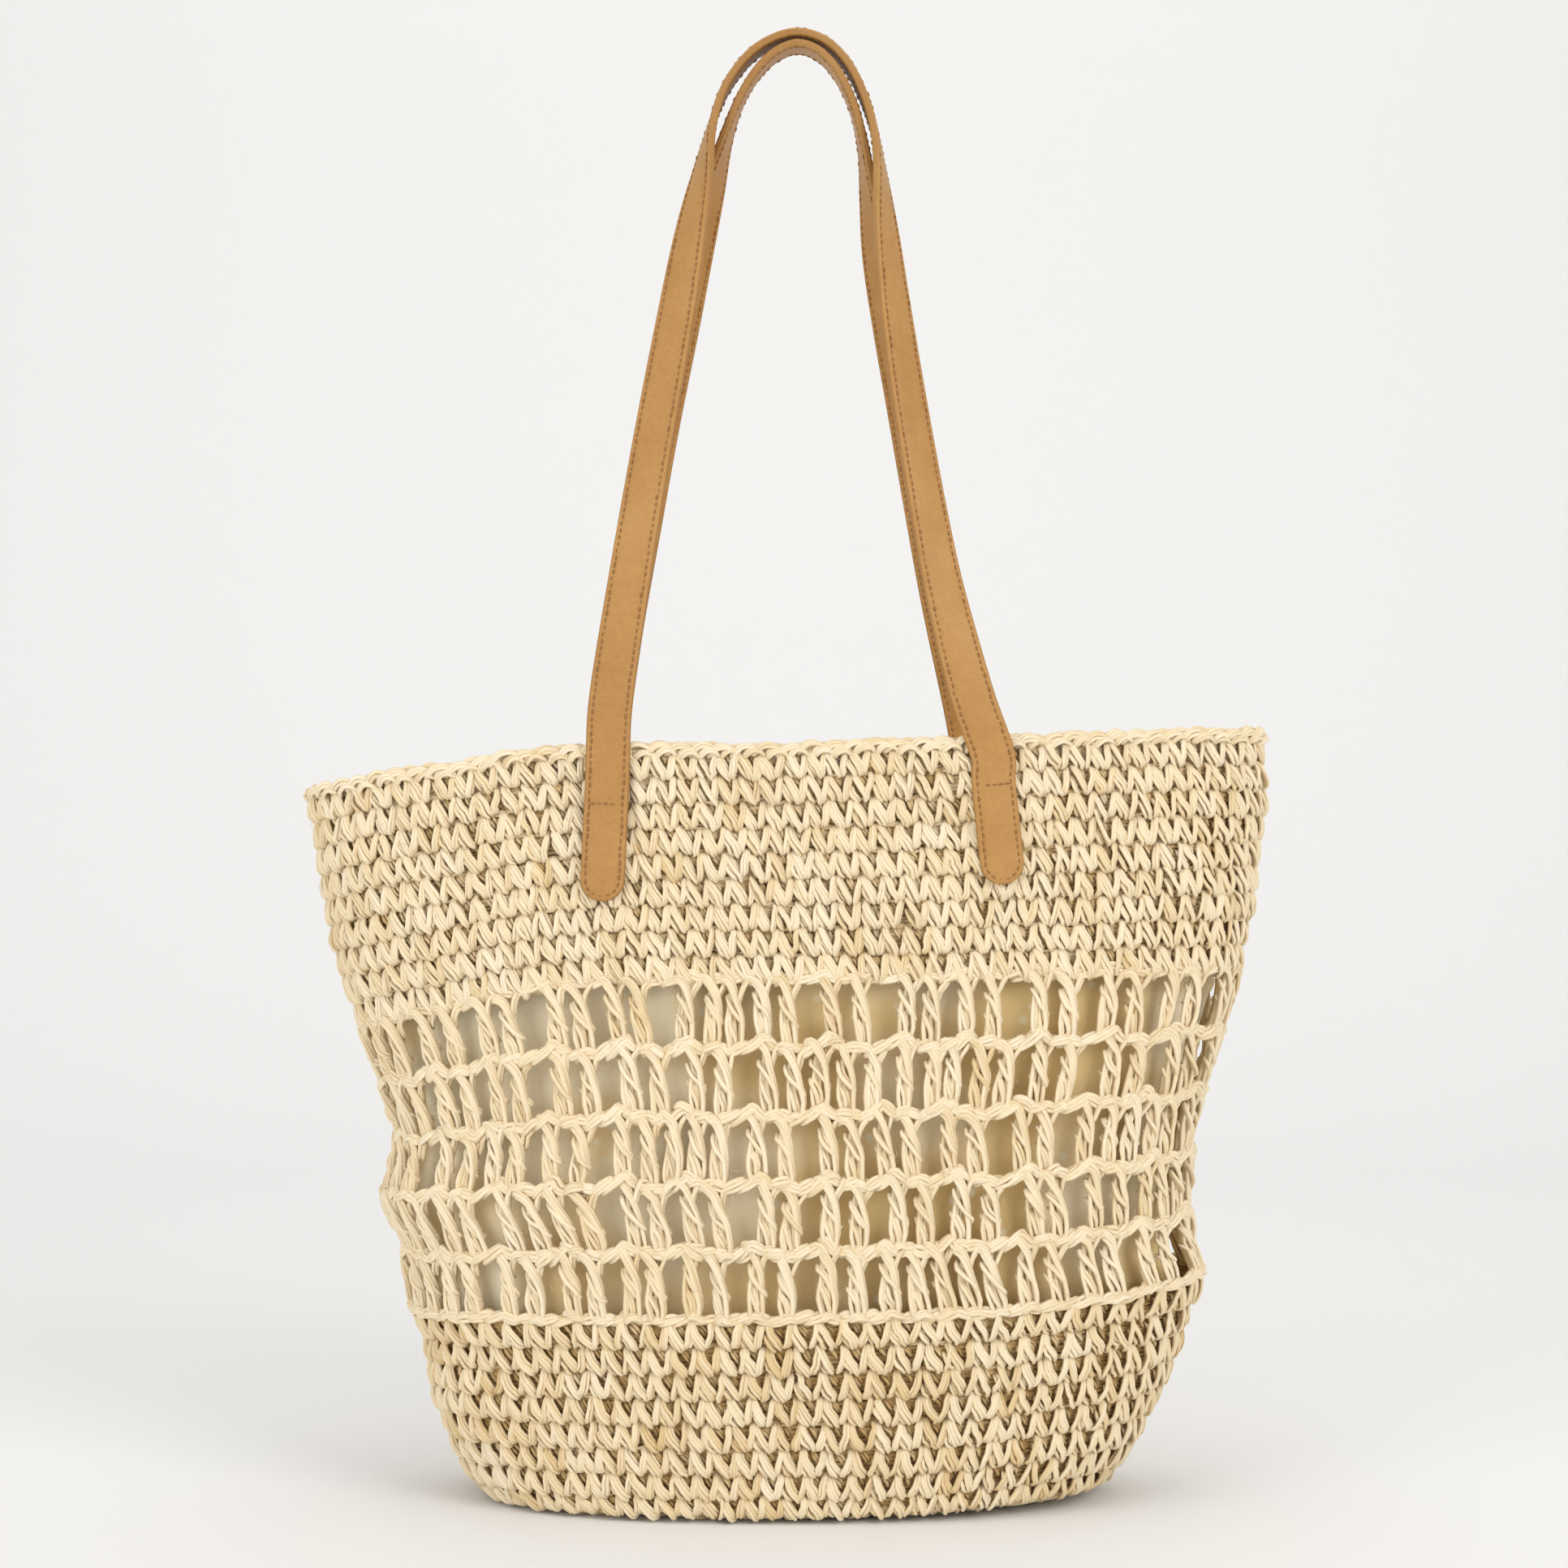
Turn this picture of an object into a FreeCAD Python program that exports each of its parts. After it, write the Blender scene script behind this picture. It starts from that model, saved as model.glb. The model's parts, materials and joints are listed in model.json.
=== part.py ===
import FreeCAD, Part
import math
import os
import Sketcher

# Crocheted paper-straw tote with two sewn leather shoulder handles and a loose cloth lining.
# Millimetres. +Z up, origin on the floor under the middle of the bag, front of the bag towards -Y.

doc = FreeCAD.newDocument("StrawTote")
V = FreeCAD.Vector

# ---------------------------------------------------------------- driving dimensions
sheet = doc.addObject("Spreadsheet::Sheet", "Dims")
DIMS = [
    ("wall_thick", 6.5),        # crocheted wall, yarn front to back
    ("base_top", 14.0),         # top of the crocheted base with its turned-up edge
    ("open_low", 92.0),         # bottom of the openwork rounds
    ("open_high", 243.0),       # top of the openwork rounds
    ("rim_depth", 11.0),        # last round at the mouth
    ("shape_power", 2.4),       # cross-section is a superellipse of this power
    ("lining_gap", 10.0),       # outer face of the crochet to outer face of the lining
    ("lining_thick", 0.9),
    ("lining_drop", 15.0),      # lining's top edge below the rim
    ("hem_depth", 14.0),
    ("hem_thick", 1.5),
    ("strap_width", 20.0),
    ("strap_thick", 4.0),
    ("layer_gap", 0.04),        # glue line between the two layers
    ("seam_inset", 2.4),        # seam thread in from the strap's edge
    ("thread_size", 0.7),
    ("tab_width", 20.6),
    ("tab_thick", 4.0),
    ("tab_off_wall", 0.8),
    ("hinge_height", 330.0),    # the straps fold here, along the cross seams
    ("hinge_gap", 1.0),         # half the gap in which a strap bends
    ("hinge_out", 0.6),         # bending line out from the strap's outer face
    ("front_left_tab_end", 278.4),
    ("front_right_tab_end", 285.7),
    ("back_left_tab_end", 281.0),
    ("back_right_tab_end", 283.0),
    ("front_left_x", -83.4),
    ("front_right_x", 96.9),
    ("back_left_x", -90.0),
    ("back_right_x", 93.0),
    ("front_left_top_x", -81.3),
    ("front_right_top_x", 92.6),
    ("back_left_top_x", -87.8),
    ("back_right_top_x", 90.0),
    ("patch_width", 26.0),
    ("patch_length", 54.0),
    ("patch_thick", 1.0),
    ("patch_corner", 5.0),
    ("stitch_pitch", 3.4),
    ("stitch_length", 2.3),
    ("cutter_half_x", 300.0),
    ("cutter_half_y", 150.0),
]
for i, (name, value) in enumerate(DIMS, start=1):
    sheet.set(f"A{i}", name)
    sheet.set(f"B{i}", str(value))
    sheet.setAlias(f"B{i}", name)
doc.recompute()


def dim(name):
    return float(sheet.get(name))


T_WALL = dim("wall_thick")
POWER = dim("shape_power")

# Outer face of the crochet: height, half width, half depth.
STATIONS = [
    (0.0, 139.0, 56.0),
    (2.0, 145.0, 61.0),
    (6.0, 150.0, 65.0),
    (12.0, 155.0, 68.5),
    (25.0, 161.0, 70.5),
    (50.0, 169.5, 72.5),
    (88.0, 181.0, 74.0),
    (126.0, 185.0, 74.0),
    (172.0, 189.0, 72.5),
    (202.0, 196.0, 70.5),
    (240.0, 209.0, 67.0),
    (278.0, 218.0, 63.0),
    (316.0, 223.0, 59.5),
    (350.0, 224.0, 56.0),
    (372.0, 224.0, 54.0),
]
# Height of the mouth along the width: the spiral rounds end lower on the left.
RIM = [
    (-300.0, 330.0),
    (-224.0, 331.0),
    (-190.0, 336.0),
    (-150.0, 341.0),
    (-120.0, 346.5),
    (-80.0, 349.0),
    (0.0, 349.0),
    (100.0, 350.5),
    (160.0, 352.5),
    (224.0, 354.5),
    (300.0, 355.0),
]


def lerp_table(table, x, col=1):
    if x <= table[0][0]:
        return table[0][col]
    for p, q in zip(table, table[1:]):
        if x <= q[0]:
            f = (x - p[0]) / (q[0] - p[0])
            return p[col] + f * (q[col] - p[col])
    return table[-1][col]


def half_width(z):
    return lerp_table(STATIONS, z, 1)


def half_depth(z):
    return lerp_table(STATIONS, z, 2)


def wall_depth(x, z):
    """How far the outer face stands from the middle plane at that place."""
    a, b = half_width(z), half_depth(z)
    return b * (1.0 - min(0.9999, abs(x / a)) ** POWER) ** (1.0 / POWER)


def oval(a, b, z, count=40):
    """A closed superellipse wire through points spaced evenly along the outline."""
    lengths = [0.0]
    dense = []
    m = 720
    for i in range(m):
        w = 2 * math.pi * i / m
        c, s = math.cos(w), math.sin(w)
        dense.append(
            V(
                a * math.copysign(abs(c) ** (2 / POWER), c),
                b * math.copysign(abs(s) ** (2 / POWER), s),
                z,
            )
        )
    dense.append(dense[0])
    for p, q in zip(dense, dense[1:]):
        lengths.append(lengths[-1] + (q - p).Length)
    points, j = [], 0
    for i in range(count):
        want = lengths[-1] * i / count
        while lengths[j + 1] < want:
            j += 1
        f = (want - lengths[j]) / (lengths[j + 1] - lengths[j])
        points.append(dense[j] + (dense[j + 1] - dense[j]) * f)
    curve = Part.BSplineCurve()
    curve.interpolate(points, True)
    return Part.Wire([curve.toShape()])


def vessel(inset, low):
    """The closed outer form of the bag, moved in by inset, from height low upwards."""
    wires = []
    heights = [low] + [s[0] for s in STATIONS if s[0] > low + 0.8]
    for z in heights:
        # the rounded foot moves up with the inset
        source = z if low == 0 else low * 0.35 + (z - low) if z < 25 else z
        a, b = half_width(max(0.0, source)), half_depth(max(0.0, source))
        if low > 0 and z == low:
            a, b = half_width(2.0), half_depth(2.0)
        wires.append(oval(a - inset, b - inset, z))
    return Part.makeLoft(wires, True, False)


def feature(name, shape):
    obj = doc.addObject("Part::Feature", name)
    obj.Shape = shape
    obj.Placement = FreeCAD.Placement()
    return obj


def boolean(kind, name, base, tool):
    obj = doc.addObject(kind, name)
    obj.Base, obj.Tool = base, tool
    return obj


def slab(name, low, high):
    """A wide box between two heights, each a spreadsheet expression."""
    box = doc.addObject("Part::Box", name)
    box.setExpression("Length", "2 * Dims.cutter_half_x")
    box.setExpression("Width", "2 * Dims.cutter_half_y")
    box.setExpression("Height", f"({high}) - ({low})")
    box.setExpression("Placement.Base.x", "-Dims.cutter_half_x")
    box.setExpression("Placement.Base.y", "-Dims.cutter_half_y")
    box.setExpression("Placement.Base.z", low)
    return box


def under_rim(name, drop_name, extra=0.0):
    """Everything under the mouth line, which is lowered by the given drop."""
    drop = (dim(drop_name) if drop_name else 0.0) + extra
    curve = Part.BSplineCurve()
    curve.interpolate([V(x, 0, z - drop) for x, z in RIM])
    top = curve.toShape()
    x0, x1 = RIM[0][0], RIM[-1][0]
    floor = -40.0
    wire = Part.Wire(
        [
            top,
            Part.makeLine(V(x1, 0, RIM[-1][1] - drop), V(x1, 0, floor)),
            Part.makeLine(V(x1, 0, floor), V(x0, 0, floor)),
            Part.makeLine(V(x0, 0, floor), V(x0, 0, RIM[0][1] - drop)),
        ]
    )
    profile = feature(name + "Profile", Part.Face(wire))
    solid = doc.addObject("Part::Extrusion", name)
    solid.Base = profile
    solid.DirMode = "Custom"
    solid.Dir = V(0, 1, 0)
    solid.setExpression("LengthFwd", "Dims.cutter_half_y")
    solid.setExpression("LengthRev", "Dims.cutter_half_y")
    solid.Solid = True
    return solid


# ---------------------------------------------------------------- crocheted bag
outer = feature("OuterForm", vessel(0.0, 0.0))
inner = feature("InnerForm", vessel(T_WALL, T_WALL))
shell = boolean("Part::Cut", "CrochetShell", outer, inner)

below_rim = under_rim("BelowMouth", None)
below_last = under_rim("BelowLastRound", "rim_depth")

nodes = []


def node(obj, label):
    obj.Label = label
    nodes.append(obj)
    return obj


node(
    boolean("Part::Common", "CrochetBase", shell, slab("BaseSlab", "-10", "Dims.base_top")),
    "crochet_base",
)
node(
    boolean(
        "Part::Common", "LowerBand", shell, slab("LowerSlab", "Dims.base_top", "Dims.open_low")
    ),
    "crochet_lower_band",
)
node(
    boolean(
        "Part::Common", "OpenworkBand", shell, slab("OpenSlab", "Dims.open_low", "Dims.open_high")
    ),
    "crochet_openwork_band",
)
upper_all = boolean(
    "Part::Common", "UpperAll", shell, slab("UpperSlab", "Dims.open_high", "400")
)
node(boolean("Part::Common", "UpperBand", upper_all, below_last), "crochet_upper_band")
rim_all = boolean("Part::Common", "RimAll", upper_all, below_rim)
node(boolean("Part::Cut", "RimRound", rim_all, below_last), "crochet_rim_round")

# ---------------------------------------------------------------- cloth lining
GAP, CLOTH = dim("lining_gap"), dim("lining_thick")
lining_out = feature("LiningOuter", vessel(GAP, GAP))
lining_in = feature("LiningInner", vessel(GAP + CLOTH, GAP + CLOTH))
lining_all = boolean("Part::Cut", "LiningAll", lining_out, lining_in)
below_lining = under_rim("BelowLiningTop", "lining_drop")
node(boolean("Part::Common", "Lining", lining_all, below_lining), "lining_bag")
# The turned hem lies inside the lining's top edge.
hem_out = feature("HemOuter", vessel(GAP + CLOTH + 0.17, GAP + CLOTH + 0.17))
hem_in = feature(
    "HemInner",
    vessel(GAP + CLOTH + 0.17 + dim("hem_thick"), GAP + CLOTH + 0.17 + dim("hem_thick")),
)
hem_all = boolean("Part::Cut", "HemAll", hem_out, hem_in)
below_hem = under_rim("BelowHem", "lining_drop", dim("hem_depth"))
hem_top = boolean("Part::Common", "HemTop", hem_all, below_lining)
node(boolean("Part::Cut", "LiningHem", hem_top, below_hem), "lining_hem")

# ---------------------------------------------------------------- sewn tabs and patches
HINGE_Z = dim("hinge_height")


def find_plane(body, role):
    for f in body.Origin.OriginFeatures:
        if f.Role == role:
            return f
    raise RuntimeError(role)


def tab_frame(side, x_low, x_top, z_low, z_top):
    """Placement of a flat plate that lies on the wall: its local Y runs up the tab, its local Z out of the wall.
    Returns the placement of the foot of the tab's middle line on the plate's inner face."""
    off = dim("tab_off_wall")
    y_low = wall_depth(x_low, z_low + 8)
    y_top = wall_depth(x_top, z_top)
    # the foot hangs at the same slope
    slope = (y_top - y_low) / (z_top - z_low - 8)
    y_foot = y_low - 8 * slope
    low = V(x_low, side * y_foot, z_low)
    top = V(x_top, side * y_top, z_top)
    up = (top - low).normalize()
    # the outward direction across the wall, from its slope along X
    x_mid, z_mid = (x_low + x_top) / 2, (z_low + z_top) / 2
    dy = (wall_depth(x_mid + 8, z_mid) - wall_depth(x_mid - 8, z_mid)) / 16
    along = V(1, side * dy, 0)
    out = along.cross(up) * (1 if side < 0 else -1)
    out.normalize()
    if out.y * side < 0:
        out = out * -1
    right = up.cross(out).normalize()
    m = FreeCAD.Matrix(
        right.x, up.x, out.x, 0, right.y, up.y, out.y, 0, right.z, up.z, out.z, 0, 0, 0, 0, 1
    )
    # clear of the bulge of the wall anywhere under the plate
    worst = 0.0
    half = dim("tab_width") / 2
    length = (top - low).Length
    for i in range(-6, 7):
        for j in range(0, 21):
            p = low + right * (half * i / 6) + up * (length * j / 20)
            inside = wall_depth(p.x, p.z) - side * p.y
            worst = max(worst, inside / max(0.2, side * out.y))
    origin = low + out * (worst + off)
    placement = FreeCAD.Placement(m)
    placement.Base = origin
    return placement, length


def outline_tab(body, name, length_alias):
    """Sketch of a strap end: straight sides, square top and a half-round foot. The foot touches local Y 0."""
    sk = body.newObject("Sketcher::SketchObject", name)
    sk.AttachmentSupport = [(find_plane(body, "XY_Plane"), "")]
    sk.MapMode = "FlatFace"
    w, n = dim("tab_width"), dim(length_alias)
    r = w / 2
    a = sk.addGeometry(Part.LineSegment(V(-r, r, 0), V(-r, n, 0)), False)
    b = sk.addGeometry(Part.LineSegment(V(-r, n, 0), V(r, n, 0)), False)
    c = sk.addGeometry(Part.LineSegment(V(r, n, 0), V(r, r, 0)), False)
    d = sk.addGeometry(
        Part.ArcOfCircle(Part.Circle(V(0, r, 0), V(0, 0, 1), r), math.pi, 2 * math.pi), False
    )
    C = Sketcher.Constraint
    sk.addConstraint(C("Coincident", a, 2, b, 1))
    sk.addConstraint(C("Coincident", b, 2, c, 1))
    sk.addConstraint(C("Tangent", c, 2, d, 2))
    sk.addConstraint(C("Tangent", a, 1, d, 1))
    sk.addConstraint(C("Vertical", a))
    sk.addConstraint(C("Horizontal", b))
    sk.addConstraint(C("PointOnObject", d, 3, -2))
    k = sk.addConstraint(C("DistanceX", b, 1, b, 2, w))
    sk.setExpression(f"Constraints[{k}]", "Dims.tab_width")
    k = sk.addConstraint(C("DistanceY", -1, 1, b, 1, n))
    sk.setExpression(f"Constraints[{k}]", f"Dims.{length_alias}")
    k = sk.addConstraint(C("DistanceY", -1, 1, d, 3, r))
    sk.setExpression(f"Constraints[{k}]", "Dims.tab_width / 2")
    return sk


def pad(body, sk, name, alias):
    p = body.newObject("PartDesign::Pad", name)
    p.Profile = sk
    p.setExpression("Length", f"Dims.{alias}")
    sk.Visibility = False
    return p


TABS = {}
for i, (label, side) in enumerate(
    [("front_left", -1), ("front_right", -1), ("back_left", 1), ("back_right", 1)]
):
    z_low = dim(label + "_tab_end")
    z_top = HINGE_Z - dim("hinge_gap")
    place, length = tab_frame(side, dim(label + "_x"), dim(label + "_top_x"), z_low, z_top)
    alias = label + "_tab_length"
    row = len(DIMS) + 1 + i
    sheet.set(f"A{row}", alias)
    sheet.set(f"B{row}", f"{length:.4f}")
    sheet.setAlias(f"B{row}", alias)
    doc.recompute()
    body = doc.addObject("PartDesign::Body", "Tab_" + label)
    sk = outline_tab(body, "TabOutline_" + label, alias)
    doc.recompute()
    pad(body, sk, "TabPad_" + label, "tab_thick")
    body.Placement = place
    doc.recompute()
    node(body, label + "_tab")
    TABS[label] = (place, length, side)

# Patches behind the wall that take the pull of the tab stitching.
for label, (place, length, side) in TABS.items():
    body = doc.addObject("PartDesign::Body", "Patch_" + label)
    sk = body.newObject("Sketcher::SketchObject", "PatchOutline_" + label)
    sk.AttachmentSupport = [(find_plane(body, "XY_Plane"), "")]
    sk.MapMode = "FlatFace"
    w, n = dim("patch_width"), dim("patch_length")
    g = [
        sk.addGeometry(Part.LineSegment(V(-w / 2, -n / 2, 0), V(w / 2, -n / 2, 0)), False),
        sk.addGeometry(Part.LineSegment(V(w / 2, -n / 2, 0), V(w / 2, n / 2, 0)), False),
        sk.addGeometry(Part.LineSegment(V(w / 2, n / 2, 0), V(-w / 2, n / 2, 0)), False),
        sk.addGeometry(Part.LineSegment(V(-w / 2, n / 2, 0), V(-w / 2, -n / 2, 0)), False),
    ]
    C = Sketcher.Constraint
    for k in range(4):
        sk.addConstraint(C("Coincident", g[k], 2, g[(k + 1) % 4], 1))
    sk.addConstraint(C("Horizontal", g[0]))
    sk.addConstraint(C("Vertical", g[1]))
    sk.addConstraint(C("Horizontal", g[2]))
    sk.addConstraint(C("Vertical", g[3]))
    sk.addConstraint(C("Symmetric", g[0], 1, g[1], 2, -1, 1))
    k = sk.addConstraint(C("DistanceX", g[0], 1, g[0], 2, w))
    sk.setExpression(f"Constraints[{k}]", "Dims.patch_width")
    k = sk.addConstraint(C("DistanceY", g[1], 1, g[1], 2, n))
    sk.setExpression(f"Constraints[{k}]", "Dims.patch_length")
    doc.recompute()
    p = pad(body, sk, "PatchPad_" + label, "patch_thick")
    doc.recompute()
    upright = [
        f"Edge{i + 1}"
        for i, e in enumerate(p.Shape.Edges)
        if abs((e.Vertexes[0].Point - e.Vertexes[-1].Point).z) > 0.5
    ]
    f = body.newObject("PartDesign::Fillet", "PatchCorners_" + label)
    f.Base = (p, upright)
    f.setExpression("Radius", "Dims.patch_corner")
    doc.recompute()
    out = place.Rotation.multVec(V(0, 0, 1))
    right = place.Rotation.multVec(V(1, 0, 0))
    up = place.Rotation.multVec(V(0, 1, 0))
    middle = place.Base + up * (dim("patch_length") / 2 - 5)
    # slid inwards until it is clear of the crochet's inner face and of the lining
    best = None
    for k in range(0, 120):
        back = 5.0 + k * 0.05
        q = middle - out * back
        need = True
        for i in range(-4, 5):
            for j in range(-6, 7):
                s = q + right * (w / 2 * i / 4) + up * (n / 2 * j / 6)
                if (wall_depth(s.x, s.z) - side * s.y) < T_WALL + 0.12:
                    need = False
        if need:
            best = back
            break
    if best is None:
        raise RuntimeError("no room for the patch " + label)
    pl = FreeCAD.Placement(place)
    pl.Base = middle - out * (best + dim("patch_thick"))
    body.Placement = pl
    doc.recompute()
    node(body, label + "_patch")

# ---------------------------------------------------------------- straps
FRONT = [
    (-79.8, -55.0, 367.7, 0),
    (-73.6, -47.0, 412.0, 14),
    (-66.7, -38.0, 457.0, 20),
    (-59.2, -29.0, 502.5, 23),
    (-51.2, -20.5, 548.5, 30),
    (-45.4, -14.5, 583.5, 42),
    (-40.4, -10.0, 611.0, 60),
    (-36.4, -5.0, 634.0, 83),
    (-29.8, -1.5, 654.0, 90),
    (-19.0, 0.0, 669.5, 90),
    (-7.4, 0.0, 677.6, 90),
    (5.2, 0.0, 680.6, 90),
    (18.0, 0.0, 676.6, 90),
    (28.4, 0.0, 666.0, 90),
    (36.0, -1.0, 650.4, 90),
    (41.0, -3.5, 633.0, 87),
    (43.6, -8.0, 613.0, 76),
    (45.4, -13.0, 591.0, 60),
    (48.6, -18.5, 560.0, 48),
    (53.0, -25.0, 525.5, 40),
    (58.2, -31.5, 491.0, 36),
    (63.8, -38.0, 457.0, 33),
    (70.0, -44.5, 423.3, 26),
    (77.0, -50.5, 393.5, 13),
    (84.0, -55.0, 367.7, 2),
]
BACK = [
    (-86.0, 55.0, 367.7, 0),
    (-78.5, 47.0, 412.0, 10),
    (-69.8, 38.0, 457.0, 18),
    (-60.8, 29.0, 502.5, 24),
    (-50.6, 20.5, 548.5, 32),
    (-42.8, 14.5, 583.0, 44),
    (-35.4, 10.0, 608.0, 62),
    (-28.9, 5.0, 630.4, 83),
    (-22.0, 2.0, 647.6, 90),
    (-14.2, 0.5, 660.2, 90),
    (-5.6, 0.0, 668.6, 90),
    (4.8, 0.0, 672.5, 90),
    (15.0, 0.0, 668.6, 90),
    (23.7, 0.0, 658.4, 90),
    (30.6, 1.0, 643.6, 90),
    (35.4, 4.0, 625.4, 86),
    (38.4, 9.0, 604.4, 72),
    (42.0, 14.5, 580.0, 56),
    (48.2, 21.0, 548.5, 44),
    (56.4, 29.0, 508.0, 36),
    (65.4, 38.0, 462.0, 28),
    (74.4, 46.5, 418.0, 16),
    (85.6, 55.0, 367.7, 2),
]


def strap_ends(label):
    place, length, side = TABS[label]
    out = place.Rotation.multVec(V(0, 0, 1))
    up = place.Rotation.multVec(V(0, 1, 0))
    t = dim("tab_thick")
    foot = place.Base + up * length + out * (t / 2)
    return foot, up, out


def strap_frames(side, table, left, right, fine=False):
    """Middle points of the strap with its running direction, width direction and outward direction."""
    f1, up1, out1 = strap_ends(left)
    f2, up2, out2 = strap_ends(right)
    gap = 2 * dim("hinge_gap")
    # just above the fold a strap leans out a little, clear of the mouth of the bag
    pts = [(f1 + up1 * gap, 0.0), (f1 + up1 * (gap + 16) + out1 * 1.4, 0.0)]
    pts += [(V(x, y, z), math.radians(w)) for x, y, z, w in table]
    pts += [(f2 + up2 * (gap + 16) + out2 * 1.4, 0.0), (f2 + up2 * gap, 0.0)]
    curve = Part.BSplineCurve()
    curve.interpolate([p for p, _ in pts])
    params = [curve.parameter(p) for p, _ in pts]
    frames = []
    steps = []
    for i in range(len(params) - 1):
        arch = 9 <= i <= len(params) - 12
        count = (6 if arch else 4) if fine else (2 if arch else 1)
        steps += [params[i] + (params[i + 1] - params[i]) * k / count for k in range(count)]
    steps.append(params[-1])
    for p in steps:
        c = curve.value(p)
        tang = curve.tangent(p)[0]
        tang.normalize()
        w = 0.0
        for i in range(len(params) - 1):
            if params[i] <= p <= params[i + 1]:
                f = (p - params[i]) / (params[i + 1] - params[i])
                w = pts[i][1] + f * (pts[i + 1][1] - pts[i][1])
                break
        face = V(0, side, 0)
        if p == steps[0]:
            tang, face = V(up1), V(out1)
        if p == steps[-1]:
            tang, face = up2 * -1, V(out2)
        n0 = face - tang * face.dot(tang)
        n0.normalize()
        n1 = V(0, -1, 0).cross(tang)
        n1 = n1 - tang * n1.dot(tang)
        n1.normalize()
        n1 = n1 - n0 * n1.dot(n0)
        n1.normalize()
        n = n0 * math.cos(w) + n1 * math.sin(w)
        frames.append((c, tang, tang.cross(n), n))
    return frames


def strip(frames, w0, w1, t0, t1, straight=False):
    """A strip that follows the frames, between two places across its width and two through its thickness."""
    wires = []
    for c, tang, wd, n in frames:
        q = [
            c + wd * w0 + n * t0,
            c + wd * w1 + n * t0,
            c + wd * w1 + n * t1,
            c + wd * w0 + n * t1,
        ]
        wires.append(Part.makePolygon(q + [q[0]]))
    return Part.makeLoft(wires, True, straight)


half, thick, glue = dim("strap_width") / 2, dim("strap_thick"), dim("layer_gap")
inset, thread = dim("seam_inset"), dim("thread_size")
for side, word, table in ((-1, "front", FRONT), (1, "back", BACK)):
    frames = strap_frames(side, table, word + "_left", word + "_right", True)
    # The strap folds outwards about the line along its outer face, just above the cross seams.
    p, q = (
        place.Base
        + place.Rotation.multVec(V(0, 1, 0)) * (length + dim("hinge_gap"))
        + place.Rotation.multVec(V(0, 0, 1)) * (dim("tab_thick") + dim("hinge_out"))
        for place, length, _ in (TABS[word + "_left"], TABS[word + "_right"])
    )
    print(word, "fold line from", tuple(round(c, 3) for c in p), "to", tuple(round(c, 3) for c in q))
    face = feature(word + "StrapFace", strip(frames, -half, half, glue / 2, thick / 2))
    node(face, word + "_strap_face")
    back = feature(word + "StrapBacking", strip(frames, -half, half, -thick / 2, -glue / 2))
    node(back, word + "_strap_backing")
    seams = []
    for s in (-1, 1):
        mid = s * (half - inset)
        seams.append(
            strip(
                frames, mid - thread / 2, mid + thread / 2, thick / 2 + 0.3, thick / 2 + 0.6, True
            )
        )
    node(feature(word + "StrapSeams", Part.makeCompound(seams)), word + "_strap_seam_thread")


# ---------------------------------------------------------------- tab stitching
def stitch(start, end, out, r):
    run = end - start
    return Part.makeCylinder(r, run.Length, start + out * (r + 0.02), run)


for label, (place, length, side) in TABS.items():
    r, n, w = dim("thread_size") / 2, dim("stitch_length"), dim("tab_width") / 2
    inset_t = 2.2
    pitch = dim("stitch_pitch")
    t = dim("tab_thick")
    x = w - inset_t
    y_bar = length - 1.5 - (0 if "right" in label else 8.0)
    # one run round the foot, from the cross seam down one side and up the other, then the cross seam
    path = [V(-x, y_bar, t)]
    path += [
        V(-x * math.cos(k * math.pi / 16), w - x * math.sin(k * math.pi / 16), t) for k in range(17)
    ]
    path += [V(x, y_bar, t), V(-x, y_bar, t)]
    run = [0.0]
    for p, q in zip(path, path[1:]):
        run.append(run[-1] + (q - p).Length)

    def at(s):
        for i in range(len(run) - 1):
            if s <= run[i + 1]:
                f = (s - run[i]) / (run[i + 1] - run[i])
                return path[i] + (path[i + 1] - path[i]) * f
        return path[-1]

    solids = []
    count = int(run[-1] // pitch)
    for k in range(count):
        s0 = k * pitch + 0.5
        p, q = at(s0), at(s0 + n)
        if (q - p).Length > 0.8 * n:
            solids.append(stitch(p, q, V(0, 0, 1), r))
    stitching = feature("Stitching_" + label, Part.makeCompound(solids))
    stitching.Placement = place
    node(stitching, label + "_tab_stitching")

doc.recompute()

# ---------------------------------------------------------------- checks and export
for obj in doc.Objects:
    if "Invalid" in obj.State or "Error" in obj.State:
        raise RuntimeError(f"{obj.Name} failed: {obj.State}")
os.makedirs("parts", exist_ok=True)
for obj in nodes:
    shape = obj.Shape
    if shape.isNull() or not shape.isValid() or shape.Volume <= 0:
        raise RuntimeError(f"{obj.Label} has no valid shape")
    shape.exportStep(f"parts/{obj.Label}.step")
    b = shape.BoundBox
    print(
        f"{obj.Label:28s} solids {len(shape.Solids):3d} volume {shape.Volume:11.1f} "
        f"x {b.XMin:7.1f}..{b.XMax:7.1f} y {b.YMin:6.1f}..{b.YMax:6.1f} z {b.ZMin:6.1f}..{b.ZMax:6.1f}"
    )
print(len(nodes), "nodes")
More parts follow.
